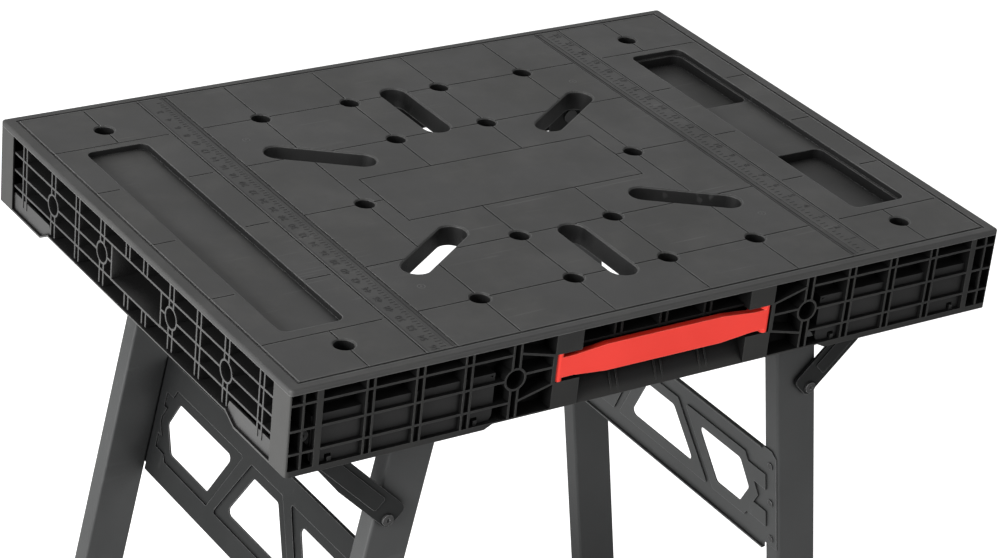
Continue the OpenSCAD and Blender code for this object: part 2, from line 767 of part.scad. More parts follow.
// Groove of a handle lug, from its place at rest towards the front
module lug_slot() {
    w = handle_lug_d + 2 * lug_slot_gap;
    for (y = [0, -handle_travel]) translate([0, y]) circle(d = w);
    translate([-w / 2, -handle_travel]) square([w, handle_travel]);
}

module front_side() {
    color(plastic) at_top() {
        intersection() {
            translate([0, -half_w, 0]) {
                long_side(true);
                handle_recess();
            }
            translate([0, 0, -side_h]) linear_extrude(side_h - rim_t) worktop_outline();
        }
    }
}

module back_side() {
    color(plastic) at_top() intersection() {
        mirror([0, 1, 0]) translate([0, -half_w, 0]) long_side(false);
        translate([0, 0, -side_h]) linear_extrude(side_h - rim_t) worktop_outline();
    }
}

// Ends of the top

// Rib pattern of an end, with y along the end and depth as negative height
module end_ribs() {
    half = half_w - post_w;
    for (y = end_pair_ys, s = [-1, 1], g = [-1, 1]) translate([s * y + g * rib_gap / 2, 0])
        rect_from(-rib_t / 2, -rim_t, rib_t / 2, -end_flange_depth);
    for (y = end_ring_ys, s = [-1, 1]) {
        for (g = [-1, 1]) translate([s * y + g * ring_pair_gap / 2, 0])
            rect_from(-rib_t / 2, -rim_t, rib_t / 2, -end_flange_depth);
        translate([s * y, -ring_depth]) circle(d = ring_d);
    }
    for (d = end_row_depths) rect_from(-half, -d - rib_t / 2, half, -d + rib_t / 2);
    rect_from(-window_w / 2 - rib_t, -window_top_depth + rib_t, window_w / 2 + rib_t,
        -window_low_depth - rib_t);
}

// An end, drawn as the left one: outer face on x = 0, inwards is +x
module end_wall() {
    half = half_w - post_w;
    flange_low = side_h - end_rise;
    inner = end_depth - back_wall_t;
    module window() {
        rect_from(-window_w / 2, -window_top_depth, window_w / 2, -window_low_depth);
    }
    module outline() {
        low_profile(half, end_step_in, end_step_out, end_rise);
    }
    translate([end_recess, 0, 0]) upright_end(inner - end_recess) intersection() {
        outline();
        difference() {
            end_ribs();
            for (y = end_ring_ys, s = [-1, 1]) translate([s * y, -ring_depth])
                circle(d = ring_bore_d);
            window();
        }
    }
    upright_end(inner) difference() {
        outline();
        translate([0, end_flange_t]) outline();
        rect_from(-half, -rim_t, half, -flange_low + end_flange_t + overrun / 2 - rib_t / 2);
    }
    upright_end(inner) intersection() {
        outline();
        for (s = [-1, 1]) polygon([[s * half, -side_h], [s * end_step_out, -side_h],
            [s * end_step_in, -flange_low], [s * (end_step_in - rib_t), -flange_low],
            [s * (end_step_in - rib_t), -flange_low + end_flange_t],
            [s * end_step_in, -flange_low + end_flange_t],
            [s * end_step_out, -side_h + end_flange_t], [s * half, -side_h + end_flange_t]]);
    }
    translate([end_panel_recess, 0, 0]) upright_end(back_wall_t) intersection() {
        outline();
        for (s = [-1, 1]) polygon([[s * half, -side_h], [s * end_step_out, -side_h],
            [s * end_step_in, -flange_low], [s * end_step_in, -end_panel_depth - end_rise / 2],
            [s * (end_step_in + rib_t), -end_panel_depth], [s * half, -end_panel_depth]]);
    }
    translate([inner, 0, 0]) upright_end(back_wall_t) difference() {
        outline();
        window();
    }
    // closed pocket behind the hand-hold window
    difference() {
        translate([inner, -window_w / 2 - back_wall_t, -window_low_depth - back_wall_t])
            cube([hand_pocket_depth - inner, window_w + 2 * back_wall_t,
                window_low_depth - window_top_depth + 2 * back_wall_t]);
        translate([inner - overrun, 0, 0])
            upright_end(hand_pocket_depth - inner - back_wall_t + overrun) window();
    }
}

module left_end() {
    color(plastic) at_top() translate([-half_l, 0, 0]) end_wall();
}

module right_end() {
    color(plastic) at_top() mirror([1, 0, 0]) translate([-half_l, 0, 0]) end_wall();
}

// Carrying handle

module carry_handle() {
    barrel_x = handle_l / 2 - handle_barrel_d / 2;
    mid_x = handle_l * handle_mid_share;
    neck_x = handle_l * handle_neck_share;
    barrel_h = block_high_depth - block_low_depth - 2 * seat_gap;
    mid_depth = (block_high_depth + block_low_depth) / 2;
    color("#e84132") at_top() translate([0, -half_w, -mid_depth]) {
        upright(handle_t) {
            rect_from(-mid_x, -handle_h / 2, mid_x, handle_h / 2);
            for (s = [-1, 1]) polygon([[s * mid_x, -handle_h / 2], [s * neck_x, -handle_end_h / 2],
                [s * barrel_x, -handle_end_h / 2], [s * barrel_x, handle_end_h / 2],
                [s * neck_x, handle_end_h / 2], [s * mid_x, handle_h / 2]]);
        }
        for (s = [-1, 1]) {
            translate([s * barrel_x, handle_barrel_d / 2, -barrel_h / 2])
                cylinder(h = barrel_h, d = handle_barrel_d);
            translate([s * barrel_x - handle_arm_t / 2, handle_barrel_d / 2, -handle_arm_h / 2])
                cube([handle_arm_t, handle_lug_y - handle_barrel_d / 2, handle_arm_h]);
            translate([s * barrel_x, handle_lug_y, -barrel_h / 2 - lug_h])
                cylinder(h = barrel_h + 2 * lug_h, d = handle_lug_d);
        }
    }
}

// Leg brackets

// A bracket of the left pair's front leg, drawn with the worktop's centre as origin
module bracket(side) {
    x_out = half_l - bracket_end;
    x_in = x_out - bracket_l;
    roof_top = bracket_roof_depth - bracket_t;
    in_wall_y = leg_y(side) - leg_t / 2 - channel_in_gap - bracket_t;
    out_wall_y = leg_y(side) + leg_t / 2 + channel_out_gap;
    folded_x = folded_pivot_x(side);
    slot_w_here = pivot_d + 2 * fit_gap;
    module wall_outline() {
        soft_poly([[x_in + bracket_corner_r, -bracket_low_depth + bracket_corner_r],
            [x_out - bracket_corner_r, -bracket_low_depth + bracket_corner_r],
            [x_out - bracket_corner_r, -bracket_roof_depth - bracket_corner_r],
            [x_in + bracket_corner_r, -bracket_roof_depth - bracket_corner_r]], bracket_corner_r);
        rect_from(x_out - 2 * bracket_corner_r, -roof_top, x_out, -bracket_roof_depth - bracket_corner_r);
        rect_from(x_in + bracket_corner_r, -roof_top, x_out, -bracket_roof_depth - bracket_corner_r);
    }
    module slot() {
        for (x = [pivot_x(side), folded_x]) translate([x, -pivot_depth(side)])
            circle(d = slot_w_here);
        rect_from(pivot_x(side), -pivot_depth(side) - slot_w_here / 2, folded_x,
            -pivot_depth(side) + slot_w_here / 2);
    }
    translate([0, in_wall_y, 0]) upright(bracket_t) difference() {
        wall_outline();
        slot();
    }
    translate([0, out_wall_y, 0]) upright(bracket_t) difference() {
        wall_outline();
        slot();
        translate([stay_pivot_x, -stay_pivot_depth]) circle(d = stay_rivet_d + fit_gap);
    }
    // lips folded inwards from the outer plate
    translate([x_in, bracket_plate_y - bracket_lip, -bracket_low_depth + bracket_corner_r])
        cube([bracket_t, bracket_lip, bracket_low_depth - bracket_corner_r - bracket_roof_depth
            + bracket_t]);
    translate([x_in + bracket_corner_r, bracket_plate_y - bracket_lip, -bracket_low_depth])
        cube([bracket_l - 2 * bracket_corner_r, bracket_lip, bracket_t]);
    translate([0, bracket_plate_y - bracket_t, 0]) upright(bracket_t) difference() {
        wall_outline();
        for (x = [x_in - seat_gap + clip_in, x_out + seat_gap - clip_in]) translate([x, -clip_depth])
            square([clip_window_w, clip_window_h], center = true);
    }
    difference() {
        translate([x_in, in_wall_y - bracket_flange, -bracket_roof_depth])
            cube([bracket_l, bracket_plate_y - in_wall_y + bracket_flange,
                bracket_t]);
        translate([0, 0, -bracket_roof_depth - overrun]) linear_extrude(bracket_t + 2 * overrun)
            corner_screw_places(side) circle(d = screw_d + 2 * fit_gap);
        translate([0, 0, -bracket_roof_depth - overrun]) linear_extrude(bracket_t + 2 * overrun)
            for (t = [-1, 1]) translate([half_l - corner_hole_end,
                half_w - corner_hole_side + t * grid_shift / 2]) circle(d = hole_d + hole_wall);
    }
}

function folded_pivot_x(side) = stay_pivot_x - stay_reach(side) + stay_rivet_down;
// Level distance between the upper stay pivot and the stay rivet when the legs are folded flat
function stay_reach(side) = sqrt(pow(stay_span(side), 2) - pow(folded_drop(side), 2));
function folded_drop(side) = pivot_depth(side) + pivot_offset + stay_rivet_off - stay_pivot_depth;

// Places a piece drawn for positive x and positive y at one of the four corners
module at_corner(side, back) {
    at_top() mirror([side < 0 ? 1 : 0, 0, 0]) mirror([0, back < 0 ? 1 : 0, 0]) children();
}

module front_left_bracket() { color(steel_dark) at_corner(-1, -1) bracket(-1); }
module back_left_bracket() { color(steel_dark) at_corner(-1, 1) bracket(-1); }
module front_right_bracket() { color(steel_dark) at_corner(1, -1) bracket(1); }
module back_right_bracket() { color(steel_dark) at_corner(1, 1) bracket(1); }

module bracket_screws() {
    color(zinc) at_top() translate([0, 0, -bracket_roof_depth]) bracket_screw_places() {
        translate([0, 0, -screw_head_h]) cylinder(h = screw_head_h, d = screw_head_d);
        cylinder(h = screw_l, d = screw_d);
    }
}

// The outer head of a stay rivet, with the dimple that the riveting tool leaves
module rivet_head() {
    difference() {
        cylinder(h = rivet_head_h, d = rivet_head_d);
        translate([0, 0, rivet_head_h - rivet_dimple_depth])
            cylinder(h = rivet_dimple_depth + overrun, d = rivet_dimple_d);
    }
}

module stay_pivot_rivets() {
    color(rivet_dark) for (side = [-1, 1], back = [-1, 1]) at_corner(side, back) {
        face_y = leg_y(side) + leg_t / 2 + stay_gap;
        wall_y = leg_y(side) + leg_t / 2 + channel_out_gap;
        translate([stay_pivot_x, face_y - inner_head_h, -stay_pivot_depth]) rotate([-90, 0, 0]) {
            cylinder(h = inner_head_h, d = rivet_head_d);
            cylinder(h = wall_y + bracket_t - face_y + inner_head_h, d = stay_rivet_d);
            translate([0, 0, wall_y + bracket_t - face_y + inner_head_h]) rivet_head();
            translate([0, 0, inner_head_h + stay_t + fit_gap])
                cylinder(h = channel_out_gap - stay_gap - stay_t - fit_gap, d = rivet_head_d);
        }
    }
}

// Pivot pins and spacers

module pivot_pins(side) {
    in_y = leg_y(side) - leg_t / 2 - channel_in_gap - bracket_t - seat_gap;
    out_y = leg_y(side) + leg_t / 2 + channel_out_gap + bracket_t + seat_gap;
    color(zinc) for (back = [-1, 1]) at_corner(side, back)
        translate([pivot_x(side), in_y, -pivot_depth(side)]) rotate([-90, 0, 0]) {
            cylinder(h = out_y - in_y, d = pivot_d);
            translate([0, 0, -pin_head_h]) cylinder(h = pin_head_h, d = pin_head_d);
            translate([0, 0, out_y - in_y]) cylinder(h = pin_head_h, d = pin_head_d);
        }
}

module pivot_spacers(side) {
    module ring(y, h) {
        translate([pivot_x(side), y, -pivot_depth(side)]) rotate([-90, 0, 0]) difference() {
            cylinder(h = h, d = spacer_d);
            translate([0, 0, -overrun]) cylinder(h = h + 2 * overrun, d = pivot_d + fit_gap);
        }
    }
    color("#d8d8d2") for (back = [-1, 1]) at_corner(side, back) {
        ring(leg_y(side) - leg_t / 2 - channel_in_gap + seat_gap, channel_in_gap - 2 * seat_gap);
        ring(leg_y(side) + leg_t / 2 + seat_gap, channel_out_gap - 2 * seat_gap);
    }
}

// Places a piece of a leg pair drawn in the leg's own frame: the origin is the pivot, -z runs down the
// leg, -x is outwards and y is across the bench
module leg_frame(side) {
    at_top() mirror([side > 0 ? 1 : 0, 0, 0])
        translate([-pivot_x(side), 0, -pivot_depth(side)]) rotate([0, splay, 0]) children();
}

module leg_tube(side, back) {
    out_face = pivot_offset + leg_w / 2;
    in_face = leg_w / 2 - pivot_offset;
    reach = foot_down(side, overall_h - foot_h, out_face) + overrun;
    color(steel_dark) leg_frame(side) translate([0, back * leg_y(side), 0]) difference() {
        intersection() {
            translate([-pivot_offset, 0, -reach]) linear_extrude(reach + nose_r) difference() {
                soft_rect(leg_w, leg_t, leg_r);
                soft_rect(leg_w - 2 * leg_wall, leg_t - 2 * leg_wall, leg_r - leg_wall / 2);
            }
            // side view of the tube: round nose at the pivot, level cut at the foot
            translate([0, leg_t, 0]) rotate([90, 0, 0]) linear_extrude(2 * leg_t) {
                circle(r = nose_r);
                polygon([[in_face, 0], [0, nose_r], [-nose_r, nose_r - nose_drop],
                    [-out_face, nose_r - nose_chamfer - pivot_offset],
                    [-out_face, -foot_down(side, overall_h - foot_h, out_face)],
                    [in_face, -foot_down(side, overall_h - foot_h, -in_face)]]);
            }
        }
        translate([0, leg_t, 0]) rotate([90, 0, 0]) cylinder(h = 2 * leg_t, d = pivot_d + 2 * fit_gap);
        for (s = brace_rivet_downs) translate([in_face - 2 * leg_wall, back * brace_rivet_in,
            -brace_down - s]) rotate([0, 90, 0])
            cylinder(h = 3 * leg_wall, d = panel_rivet_d + fit_gap);
    }
}

module foot(side, back) {
    out_face = pivot_offset + leg_w / 2;
    in_face = leg_w / 2 - pivot_offset;
    sole = 1;
    plug = 14;
    deep = foot_down(side, overall_h, out_face + sole) + overrun;
    plug_top = foot_down(side, overall_h - foot_h, -in_face) - plug;
    color("#2b2b2b") leg_frame(side) translate([0, back * leg_y(side), 0]) {
        intersection() {
            translate([-pivot_offset, 0, -deep]) linear_extrude(deep - plug_top)
                soft_rect(leg_w - 2 * leg_wall - 2 * seat_gap, leg_t - 2 * leg_wall - 2 * seat_gap,
                    leg_r - leg_wall / 2);
            translate([0, leg_t, 0]) rotate([90, 0, 0]) linear_extrude(2 * leg_t)
                polygon([[-out_face, -plug_top], [in_face, -plug_top],
                    [in_face, -foot_down(side, overall_h - foot_h / 2, -in_face)],
                    [-out_face, -foot_down(side, overall_h - foot_h / 2, out_face)]]);
        }
        intersection() {
            translate([-pivot_offset, 0, -deep]) linear_extrude(deep)
                soft_rect(leg_w + 2 * sole, leg_t + 2 * sole, leg_r + sole);
            translate([0, leg_t, 0]) rotate([90, 0, 0]) linear_extrude(2 * leg_t)
                polygon([[-out_face - sole, -foot_down(side, overall_h - foot_h, out_face + sole)],
                    [in_face + sole, -foot_down(side, overall_h - foot_h, -in_face - sole)],
                    [in_face + sole, -foot_down(side, overall_h, -in_face - sole)],
                    [-out_face - sole, -foot_down(side, overall_h, out_face + sole)]]);
        }
    }
}

// Brace panels

// Outlines of the three cut-outs of a panel, corner arcs centred on the points; y is across the bench
// and the second coordinate runs down the panel
function middle_hole(r) = [[-middle_top_half, brace_hole_top + r],
    [middle_top_half, brace_hole_top + r], [middle_low_half, brace_hole_low - r],
    [-middle_low_half, brace_hole_low - r]];
function outer_hole(side, r) = [[outer_top_in, brace_hole_top + r],
    [leg_y(side) - outer_top_gap, brace_hole_top + r], [leg_y(side) - outer_tip_gap, brace_hole_mid],
    [leg_y(side) - outer_low_gap, brace_hole_low - r], [outer_low_in, brace_hole_low - r]];

// The corners of a convex outline moved outwards, so that every edge lies the distance d further out
function moved_out(points, d) = [for (i = [0:len(points) - 1])
    let (
        before = points[(i + len(points) - 1) % len(points)],
        after = points[(i + 1) % len(points)],
        u = (points[i] - before) / norm(points[i] - before),
        v = (after - points[i]) / norm(after - points[i])
    )
    points[i] + d * [u[1] + v[1], -u[0] - v[0]] / (1 + u * v)];

// Both are drawn with rounded corners: the cut-outs, and the pressed pads around them
module panel_holes(side) {
    soft_poly(middle_hole(brace_hole_r), brace_hole_r, arc_gap);
    for (s = [0, 1]) mirror([s, 0]) soft_poly(outer_hole(side, brace_hole_r), brace_hole_r, arc_gap);
}

module panel_pads(side, shrink) {
    out = brace_hole_r + brace_pad - brace_pad_r - shrink;
    soft_poly(moved_out(middle_hole(brace_hole_r), out), brace_pad_r, arc_gap);
    for (s = [0, 1]) mirror([s, 0])
        soft_poly(moved_out(outer_hole(side, brace_hole_r), out), brace_pad_r, arc_gap);
}

module panel_lobes(side, shrink) {
    lobe_x = leg_y(side) - lobe_end;
    for (s = [-1, 1], d = lobe_downs) {
        translate([s * (lobe_x - lobe_l / 2) - lobe_l / 2 + shrink, d + shrink])
            square([lobe_l - 2 * shrink, lobe_w - 2 * shrink]);
    }
}

module brace_panel(side) {
    half = leg_y(side) + brace_edge;
    lip_half = leg_y(side) - brace_tab_in;
    in_face = leg_w / 2 - pivot_offset;
    // drawn in the plane of the panel, then laid against the inner faces of the legs
    module lay(t) {
        translate([0, 0, -brace_down]) rotate([90, 0, 90]) linear_extrude(t)
            mirror([0, 1]) children();
    }
    module pads(shrink) {
        intersection() {
            union() {
                panel_pads(side, shrink);
                panel_lobes(side, shrink);
            }
            rect_from(-half + brace_chamfer, lip_t + overrun, half - brace_chamfer,
                brace_w - lip_t - overrun);
        }
    }
    color(steel_dark) leg_frame(side) translate([in_face, 0, 0]) difference() {
        union() {
            lay(brace_t) {
                rect_from(-lip_half, 0, lip_half, brace_w);
                polygon([[-half + brace_chamfer, 0], [half - brace_chamfer, 0], [half, brace_chamfer],
                    [half, brace_w - brace_foot_step], [-half, brace_w - brace_foot_step],
                    [-half, brace_chamfer]]);
            }
            lay(brace_t + brace_press) pads(0);
            lay(brace_t + lip_h) {
                rect_from(-lip_half, 0, lip_half, lip_t);
                rect_from(-lip_half, brace_w - lip_t, lip_half, brace_w);
            }
        }
        translate([-brace_t, 0, 0]) lay(brace_t + brace_press) difference() {
            pads(brace_t);
            rect_from(-half, 0, -leg_y(side) + leg_t, brace_w);
            rect_from(leg_y(side) - leg_t, 0, half, brace_w);
        }
        translate([-overrun, 0, 0]) lay(brace_t + brace_press + 2 * overrun) panel_holes(side);
        translate([-overrun, 0, 0]) lay(brace_t + brace_press + 2 * overrun)
            for (s = [-1, 1], d = brace_rivet_downs)
                translate([s * (leg_y(side) + brace_rivet_in), d]) circle(d = panel_rivet_d + fit_gap);
    }
}

module panel_rivets(side) {
    in_face = leg_w / 2 - pivot_offset;
    color(rivet_dark) leg_frame(side) for (s = [-1, 1], d = brace_rivet_downs)
        translate([in_face + brace_t, s * (leg_y(side) + brace_rivet_in), -brace_down - d])
            rotate([0, 90, 0]) {
                cylinder(h = panel_rivet_head_h, d = panel_rivet_head_d);
                translate([0, 0, -brace_t - leg_wall - panel_rivet_head_h])
                    cylinder(h = brace_t + leg_wall + panel_rivet_head_h, d = panel_rivet_d);
                translate([0, 0, -brace_t - leg_wall - panel_rivet_head_h])
                    cylinder(h = panel_rivet_head_h, d = panel_rivet_tail_d);
            }
}

// Stays

// Places a stay drawn with its upper pivot as origin, x towards the leg rivet
module stay_frame(side, back) {
    rivet = stay_rivet_at(side);
    tilt = atan2(rivet[1] - stay_pivot_depth, stay_pivot_x - rivet[0]);
    at_corner(side, back)
        translate([stay_pivot_x, leg_y(side) + leg_t / 2 + stay_gap, -stay_pivot_depth])
            rotate([0, 180 - tilt, 0]) mirror([0, 0, 1]) children();
}

module stay(side, back) {
    span = stay_span(side);
    offset_v = stay_w / 2 - stay_margin;
    lean = asin(2 * offset_v / span);
    run = span * cos(lean);
    r = stay_corner_r;
    pad_w = 16;
    pad_r = 3;
    pad_h = 1.2;
    module drawn(t) {
        rotate([90, 0, 0]) mirror([0, 0, 1]) linear_extrude(t) rotate(lean)
            translate([0, -offset_v]) children();
    }
    color(steel_dark) stay_frame(side, back) difference() {
        union() {
            drawn(stay_t) soft_poly([[-stay_end + r, stay_w / 2 - r],
                [run + stay_end - r, stay_w / 2 - r], [run + stay_end - r, -stay_w / 2 + r],
                [stay_taper_l, -stay_w / 2 + r], [-stay_end + r, -stay_w / 2 + r + stay_taper_w]], r);
            drawn(stay_t + pad_h) soft_poly([[stay_end + 2 * r, pad_w / 2 - pad_r],
                [run - stay_end - 2 * r, pad_w / 2 - pad_r], [run - stay_end - 2 * r, -pad_w / 2 + pad_r],
                [stay_end + 2 * r, -pad_w / 2 + pad_r]], pad_r);
        }
        for (x = [0, span]) translate([x, -overrun, 0]) rotate([-90, 0, 0])
            cylinder(h = stay_t + 2 * overrun, d = stay_rivet_d + 2 * fit_gap);
    }
}

// The lower stay rivets ride on the stays; their shanks end flush, clear of the leg
module stay_rivets(side) {
    color(rivet_dark) for (back = [-1, 1]) stay_frame(side, back)
        translate([stay_span(side), 0, 0]) rotate([-90, 0, 0]) {
            cylinder(h = stay_t, d = stay_rivet_d);
            translate([0, 0, stay_t]) rivet_head();
        }
}

module left_pivot_pins() { pivot_pins(-1); }
module right_pivot_pins() { pivot_pins(1); }
module left_pivot_spacers() { pivot_spacers(-1); }
module right_pivot_spacers() { pivot_spacers(1); }
module left_front_leg() { leg_tube(-1, -1); }
module left_back_leg() { leg_tube(-1, 1); }
module right_front_leg() { leg_tube(1, -1); }
module right_back_leg() { leg_tube(1, 1); }
module left_front_foot() { foot(-1, -1); }
module left_back_foot() { foot(-1, 1); }
module right_front_foot() { foot(1, -1); }
module right_back_foot() { foot(1, 1); }
module left_brace_panel() { brace_panel(-1); }
module right_brace_panel() { brace_panel(1); }
module left_panel_rivets() { panel_rivets(-1); }
module right_panel_rivets() { panel_rivets(1); }
module left_front_stay() { stay(-1, -1); }
module left_back_stay() { stay(-1, 1); }
module right_front_stay() { stay(1, -1); }
module right_back_stay() { stay(1, 1); }
module left_stay_rivets() { stay_rivets(-1); }
module right_stay_rivets() { stay_rivets(1); }

worktop_deck();
deck_ribs();
front_side();
back_side();
left_end();
right_end();
carry_handle();
front_left_bracket();
back_left_bracket();
front_right_bracket();
back_right_bracket();
bracket_screws();
stay_pivot_rivets();
left_pivot_pins();
left_pivot_spacers();
left_front_leg();
left_back_leg();
left_brace_panel();
left_panel_rivets();
left_front_foot();
left_back_foot();
left_front_stay();
left_back_stay();
left_stay_rivets();
right_pivot_pins();
right_pivot_spacers();
right_front_leg();
right_back_leg();
right_brace_panel();
right_panel_rivets();
right_front_foot();
right_back_foot();
right_front_stay();
right_back_stay();
right_stay_rivets();
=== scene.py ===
# %% [markdown]
# # Folding workbench with a ribbed moulded top
# The bench has a charcoal plastic top full of ribs, a red carrying handle and dark steel legs.
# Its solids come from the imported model, so this script only finishes their surfaces and adds the
# fine work that sits on them: the rulers, their numbers, a few lines and small moulded marks.
# Everything is in metres, with the origin on the floor under the middle of the top.

import math

import bmesh
import bpy
from mathutils import Euler, Matrix, Vector


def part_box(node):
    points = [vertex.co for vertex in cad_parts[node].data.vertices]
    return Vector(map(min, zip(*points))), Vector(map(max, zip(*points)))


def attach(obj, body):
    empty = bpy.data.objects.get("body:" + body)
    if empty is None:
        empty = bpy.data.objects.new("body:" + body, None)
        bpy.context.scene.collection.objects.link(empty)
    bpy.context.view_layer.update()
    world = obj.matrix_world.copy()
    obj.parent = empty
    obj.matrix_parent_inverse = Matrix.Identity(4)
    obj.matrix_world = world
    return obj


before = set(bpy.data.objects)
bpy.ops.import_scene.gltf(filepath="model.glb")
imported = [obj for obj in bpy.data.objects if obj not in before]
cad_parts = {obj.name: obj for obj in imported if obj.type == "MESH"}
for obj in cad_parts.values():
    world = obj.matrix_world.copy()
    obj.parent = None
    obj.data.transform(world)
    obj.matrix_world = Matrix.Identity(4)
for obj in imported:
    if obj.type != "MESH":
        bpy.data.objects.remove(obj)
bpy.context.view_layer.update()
deck_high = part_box("worktop_deck")[1]
top_z = deck_high.z
print("top of the bench at", round(top_z, 4), "m")

# %% [markdown]
# ## The camera
# The picture was taken from the front left and a little above, with a long lens. The place, the turn
# and the lens below were worked out from the corners of the top, whose size the rulers give.
# A long lens keeps the edges of the top nearly parallel, which is how such products are shown.

# %% Put up the camera
eye = Vector((-1.63634, -2.29833, top_z + 1.34764))
turn_deg = (62.3944, -5.4327, -32.8540)
lens_mm = 110.80
sensor_mm = 36.0

lens = bpy.data.cameras.new("bench_camera")
lens.lens = lens_mm
lens.sensor_width = sensor_mm
lens.sensor_fit = "HORIZONTAL"
lens.clip_end = 50  # metres, far beyond the floor's edge
camera = bpy.data.objects.new("bench_camera", lens)
camera.location = eye
camera.rotation_euler = Euler([math.radians(a) for a in turn_deg], "XYZ")
bpy.context.scene.collection.objects.link(camera)
bpy.context.scene.camera = camera
print("camera at", [round(v, 3) for v in eye], "lens", lens_mm, "mm")

# %% [markdown]
# ## Background and lamps
# The bench stands in front of plain white. The world is white only for rays from the camera and
# from glossy surfaces. For all other rays it is a weak fill, so the dark plastic keeps its tone.
# Three large lamps act as softboxes: a strong one on the left, because the left end of the bench
# is brighter than its front in the picture, a broad one overhead and a weak one at the front.

# %% Build the world
scene = bpy.context.scene
scene.view_settings.view_transform = "Standard"
world = bpy.data.worlds.new("white_room")
scene.world = world
world.use_nodes = True
sky = world.node_tree
sky.nodes.clear()
fill_level = 0.07
fill_colour = (0.97, 0.98, 1.0, 1)

sky_out = sky.nodes.new("ShaderNodeOutputWorld")
soft = sky.nodes.new("ShaderNodeBackground")
soft.inputs["Color"].default_value = fill_colour
soft.inputs["Strength"].default_value = fill_level
white = sky.nodes.new("ShaderNodeBackground")
white.inputs["Color"].default_value = (1, 1, 1, 1)
white.inputs["Strength"].default_value = 1.0
path = sky.nodes.new("ShaderNodeLightPath")
seen = sky.nodes.new("ShaderNodeMath")
seen.operation = "MAXIMUM"
choose = sky.nodes.new("ShaderNodeMixShader")
sky.links.new(path.outputs["Is Camera Ray"], seen.inputs[0])
sky.links.new(path.outputs["Is Glossy Ray"], seen.inputs[1])
sky.links.new(seen.outputs[0], choose.inputs[0])
sky.links.new(soft.outputs[0], choose.inputs[1])
sky.links.new(white.outputs[0], choose.inputs[2])
sky.links.new(choose.outputs[0], sky_out.inputs["Surface"])
print("fill light", fill_level)


# %% Hang the softboxes
def softbox(name, spot, aim, width, height, power):
    """A rectangular lamp at a spot that faces aim; sizes in metres, power in watts."""
    lamp = bpy.data.lights.new(name, "AREA")
    lamp.shape = "RECTANGLE"
    lamp.size = width
    lamp.size_y = height
    lamp.energy = power
    holder = bpy.data.objects.new(name, lamp)
    holder.location = spot
    holder.rotation_euler = (Vector(aim) - Vector(spot)).to_track_quat("-Z", "Y").to_euler()
    scene.collection.objects.link(holder)


bench_middle = (0, 0, 0.6)
softbox("left_softbox", (-3.3, -0.6, 1.4), bench_middle, 1.8, 1.8, 280)
softbox("ceiling_softbox", (0.3, 0.6, 4.0), bench_middle, 2.4, 2.4, 34)
softbox("front_softbox", (0.9, -4.0, 0.8), bench_middle, 2.6, 1.2, 76)

# %% [markdown]
# ## The floor
# A plain pale sheet. Seen by the camera it is pure white like the room, apart from the shadow that
# the legs throw on it. The trick is a mix of plain emission and a plain matt surface: the emission
# lifts the sheet to white, and the matt part still darkens where the bench keeps light away.

# %% Lay the floor
floor_half = 9.0
floor_grey = 0.78
floor_glow = 0.82
floor_mesh = bpy.data.meshes.new("floor_sheet")
sheet = bmesh.new()
corners = [sheet.verts.new((x * floor_half, y * floor_half, 0)) for x, y in
           ((-1, -1), (1, -1), (1, 1), (-1, 1))]
sheet.faces.new(corners)
sheet.to_mesh(floor_mesh)
sheet.free()
floor = bpy.data.objects.new("floor_sheet", floor_mesh)
scene.collection.objects.link(floor)

pale = bpy.data.materials.new("pale_floor")
pale.use_nodes = True
pale_nodes = pale.node_tree
pale_nodes.nodes.clear()
pale_out = pale_nodes.nodes.new("ShaderNodeOutputMaterial")
matt = pale_nodes.nodes.new("ShaderNodeBsdfDiffuse")
matt.inputs["Color"].default_value = (floor_grey, floor_grey, floor_grey, 1)
glow = pale_nodes.nodes.new("ShaderNodeEmission")
glow.inputs["Color"].default_value = (1, 1, 1, 1)
glow.inputs["Strength"].default_value = floor_glow
both = pale_nodes.nodes.new("ShaderNodeAddShader")
see = pale_nodes.nodes.new("ShaderNodeLightPath")
pick = pale_nodes.nodes.new("ShaderNodeMixShader")
pale_nodes.links.new(matt.outputs[0], both.inputs[0])
pale_nodes.links.new(glow.outputs[0], both.inputs[1])
pale_nodes.links.new(see.outputs["Is Camera Ray"], pick.inputs[0])
pale_nodes.links.new(matt.outputs[0], pick.inputs[1])
pale_nodes.links.new(both.outputs[0], pick.inputs[2])
pale_nodes.links.new(pick.outputs[0], pale_out.inputs["Surface"])
floor_mesh.materials.append(pale)
print("floor", 2 * floor_half, "m wide")

# %% [markdown]
# ## Shared surface effects
# Real plastic and painted steel are never one flat tone. Small node groups hold what several
# finishes share: the fine grain of the mould, edges rubbed lighter by use and lit by a painted
# highlight, fine scratches, dust on surfaces that face up, and painted shade in deep recesses.
# Three more paint light or shade into faces by where they lie: painted light on the very ends of
# the top, and painted shade on what stands back behind its long sides and on the walls of its
# slots. The groups put out masks, a height and rounded normals, and every material places them
# with values of its own.


# %% Helpers for node groups
def new_group(name, takes, gives):
    """An empty shader group with float inputs (name, value) and float outputs."""
    tree = bpy.data.node_groups.new(name, "ShaderNodeTree")
    for label, value in takes:
        socket = tree.interface.new_socket(label, in_out="INPUT", socket_type="NodeSocketFloat")
        socket.default_value = value
    for label in gives:
        tree.interface.new_socket(label, in_out="OUTPUT", socket_type="NodeSocketFloat")
    return tree, tree.nodes.new("NodeGroupInput"), tree.nodes.new("NodeGroupOutput")


def noise(tree, where, scale, detail, rough):
    """A noise texture read at the coordinates where; scale is a number or a socket."""
    node = tree.nodes.new("ShaderNodeTexNoise")
    node.inputs["Detail"].default_value = detail
    node.inputs["Roughness"].default_value = rough
    tree.links.new(where, node.inputs["Vector"])
    if isinstance(scale, (int, float)):
        node.inputs["Scale"].default_value = scale
    else:
        tree.links.new(scale, node.inputs["Scale"])
    return node.outputs["Fac"]


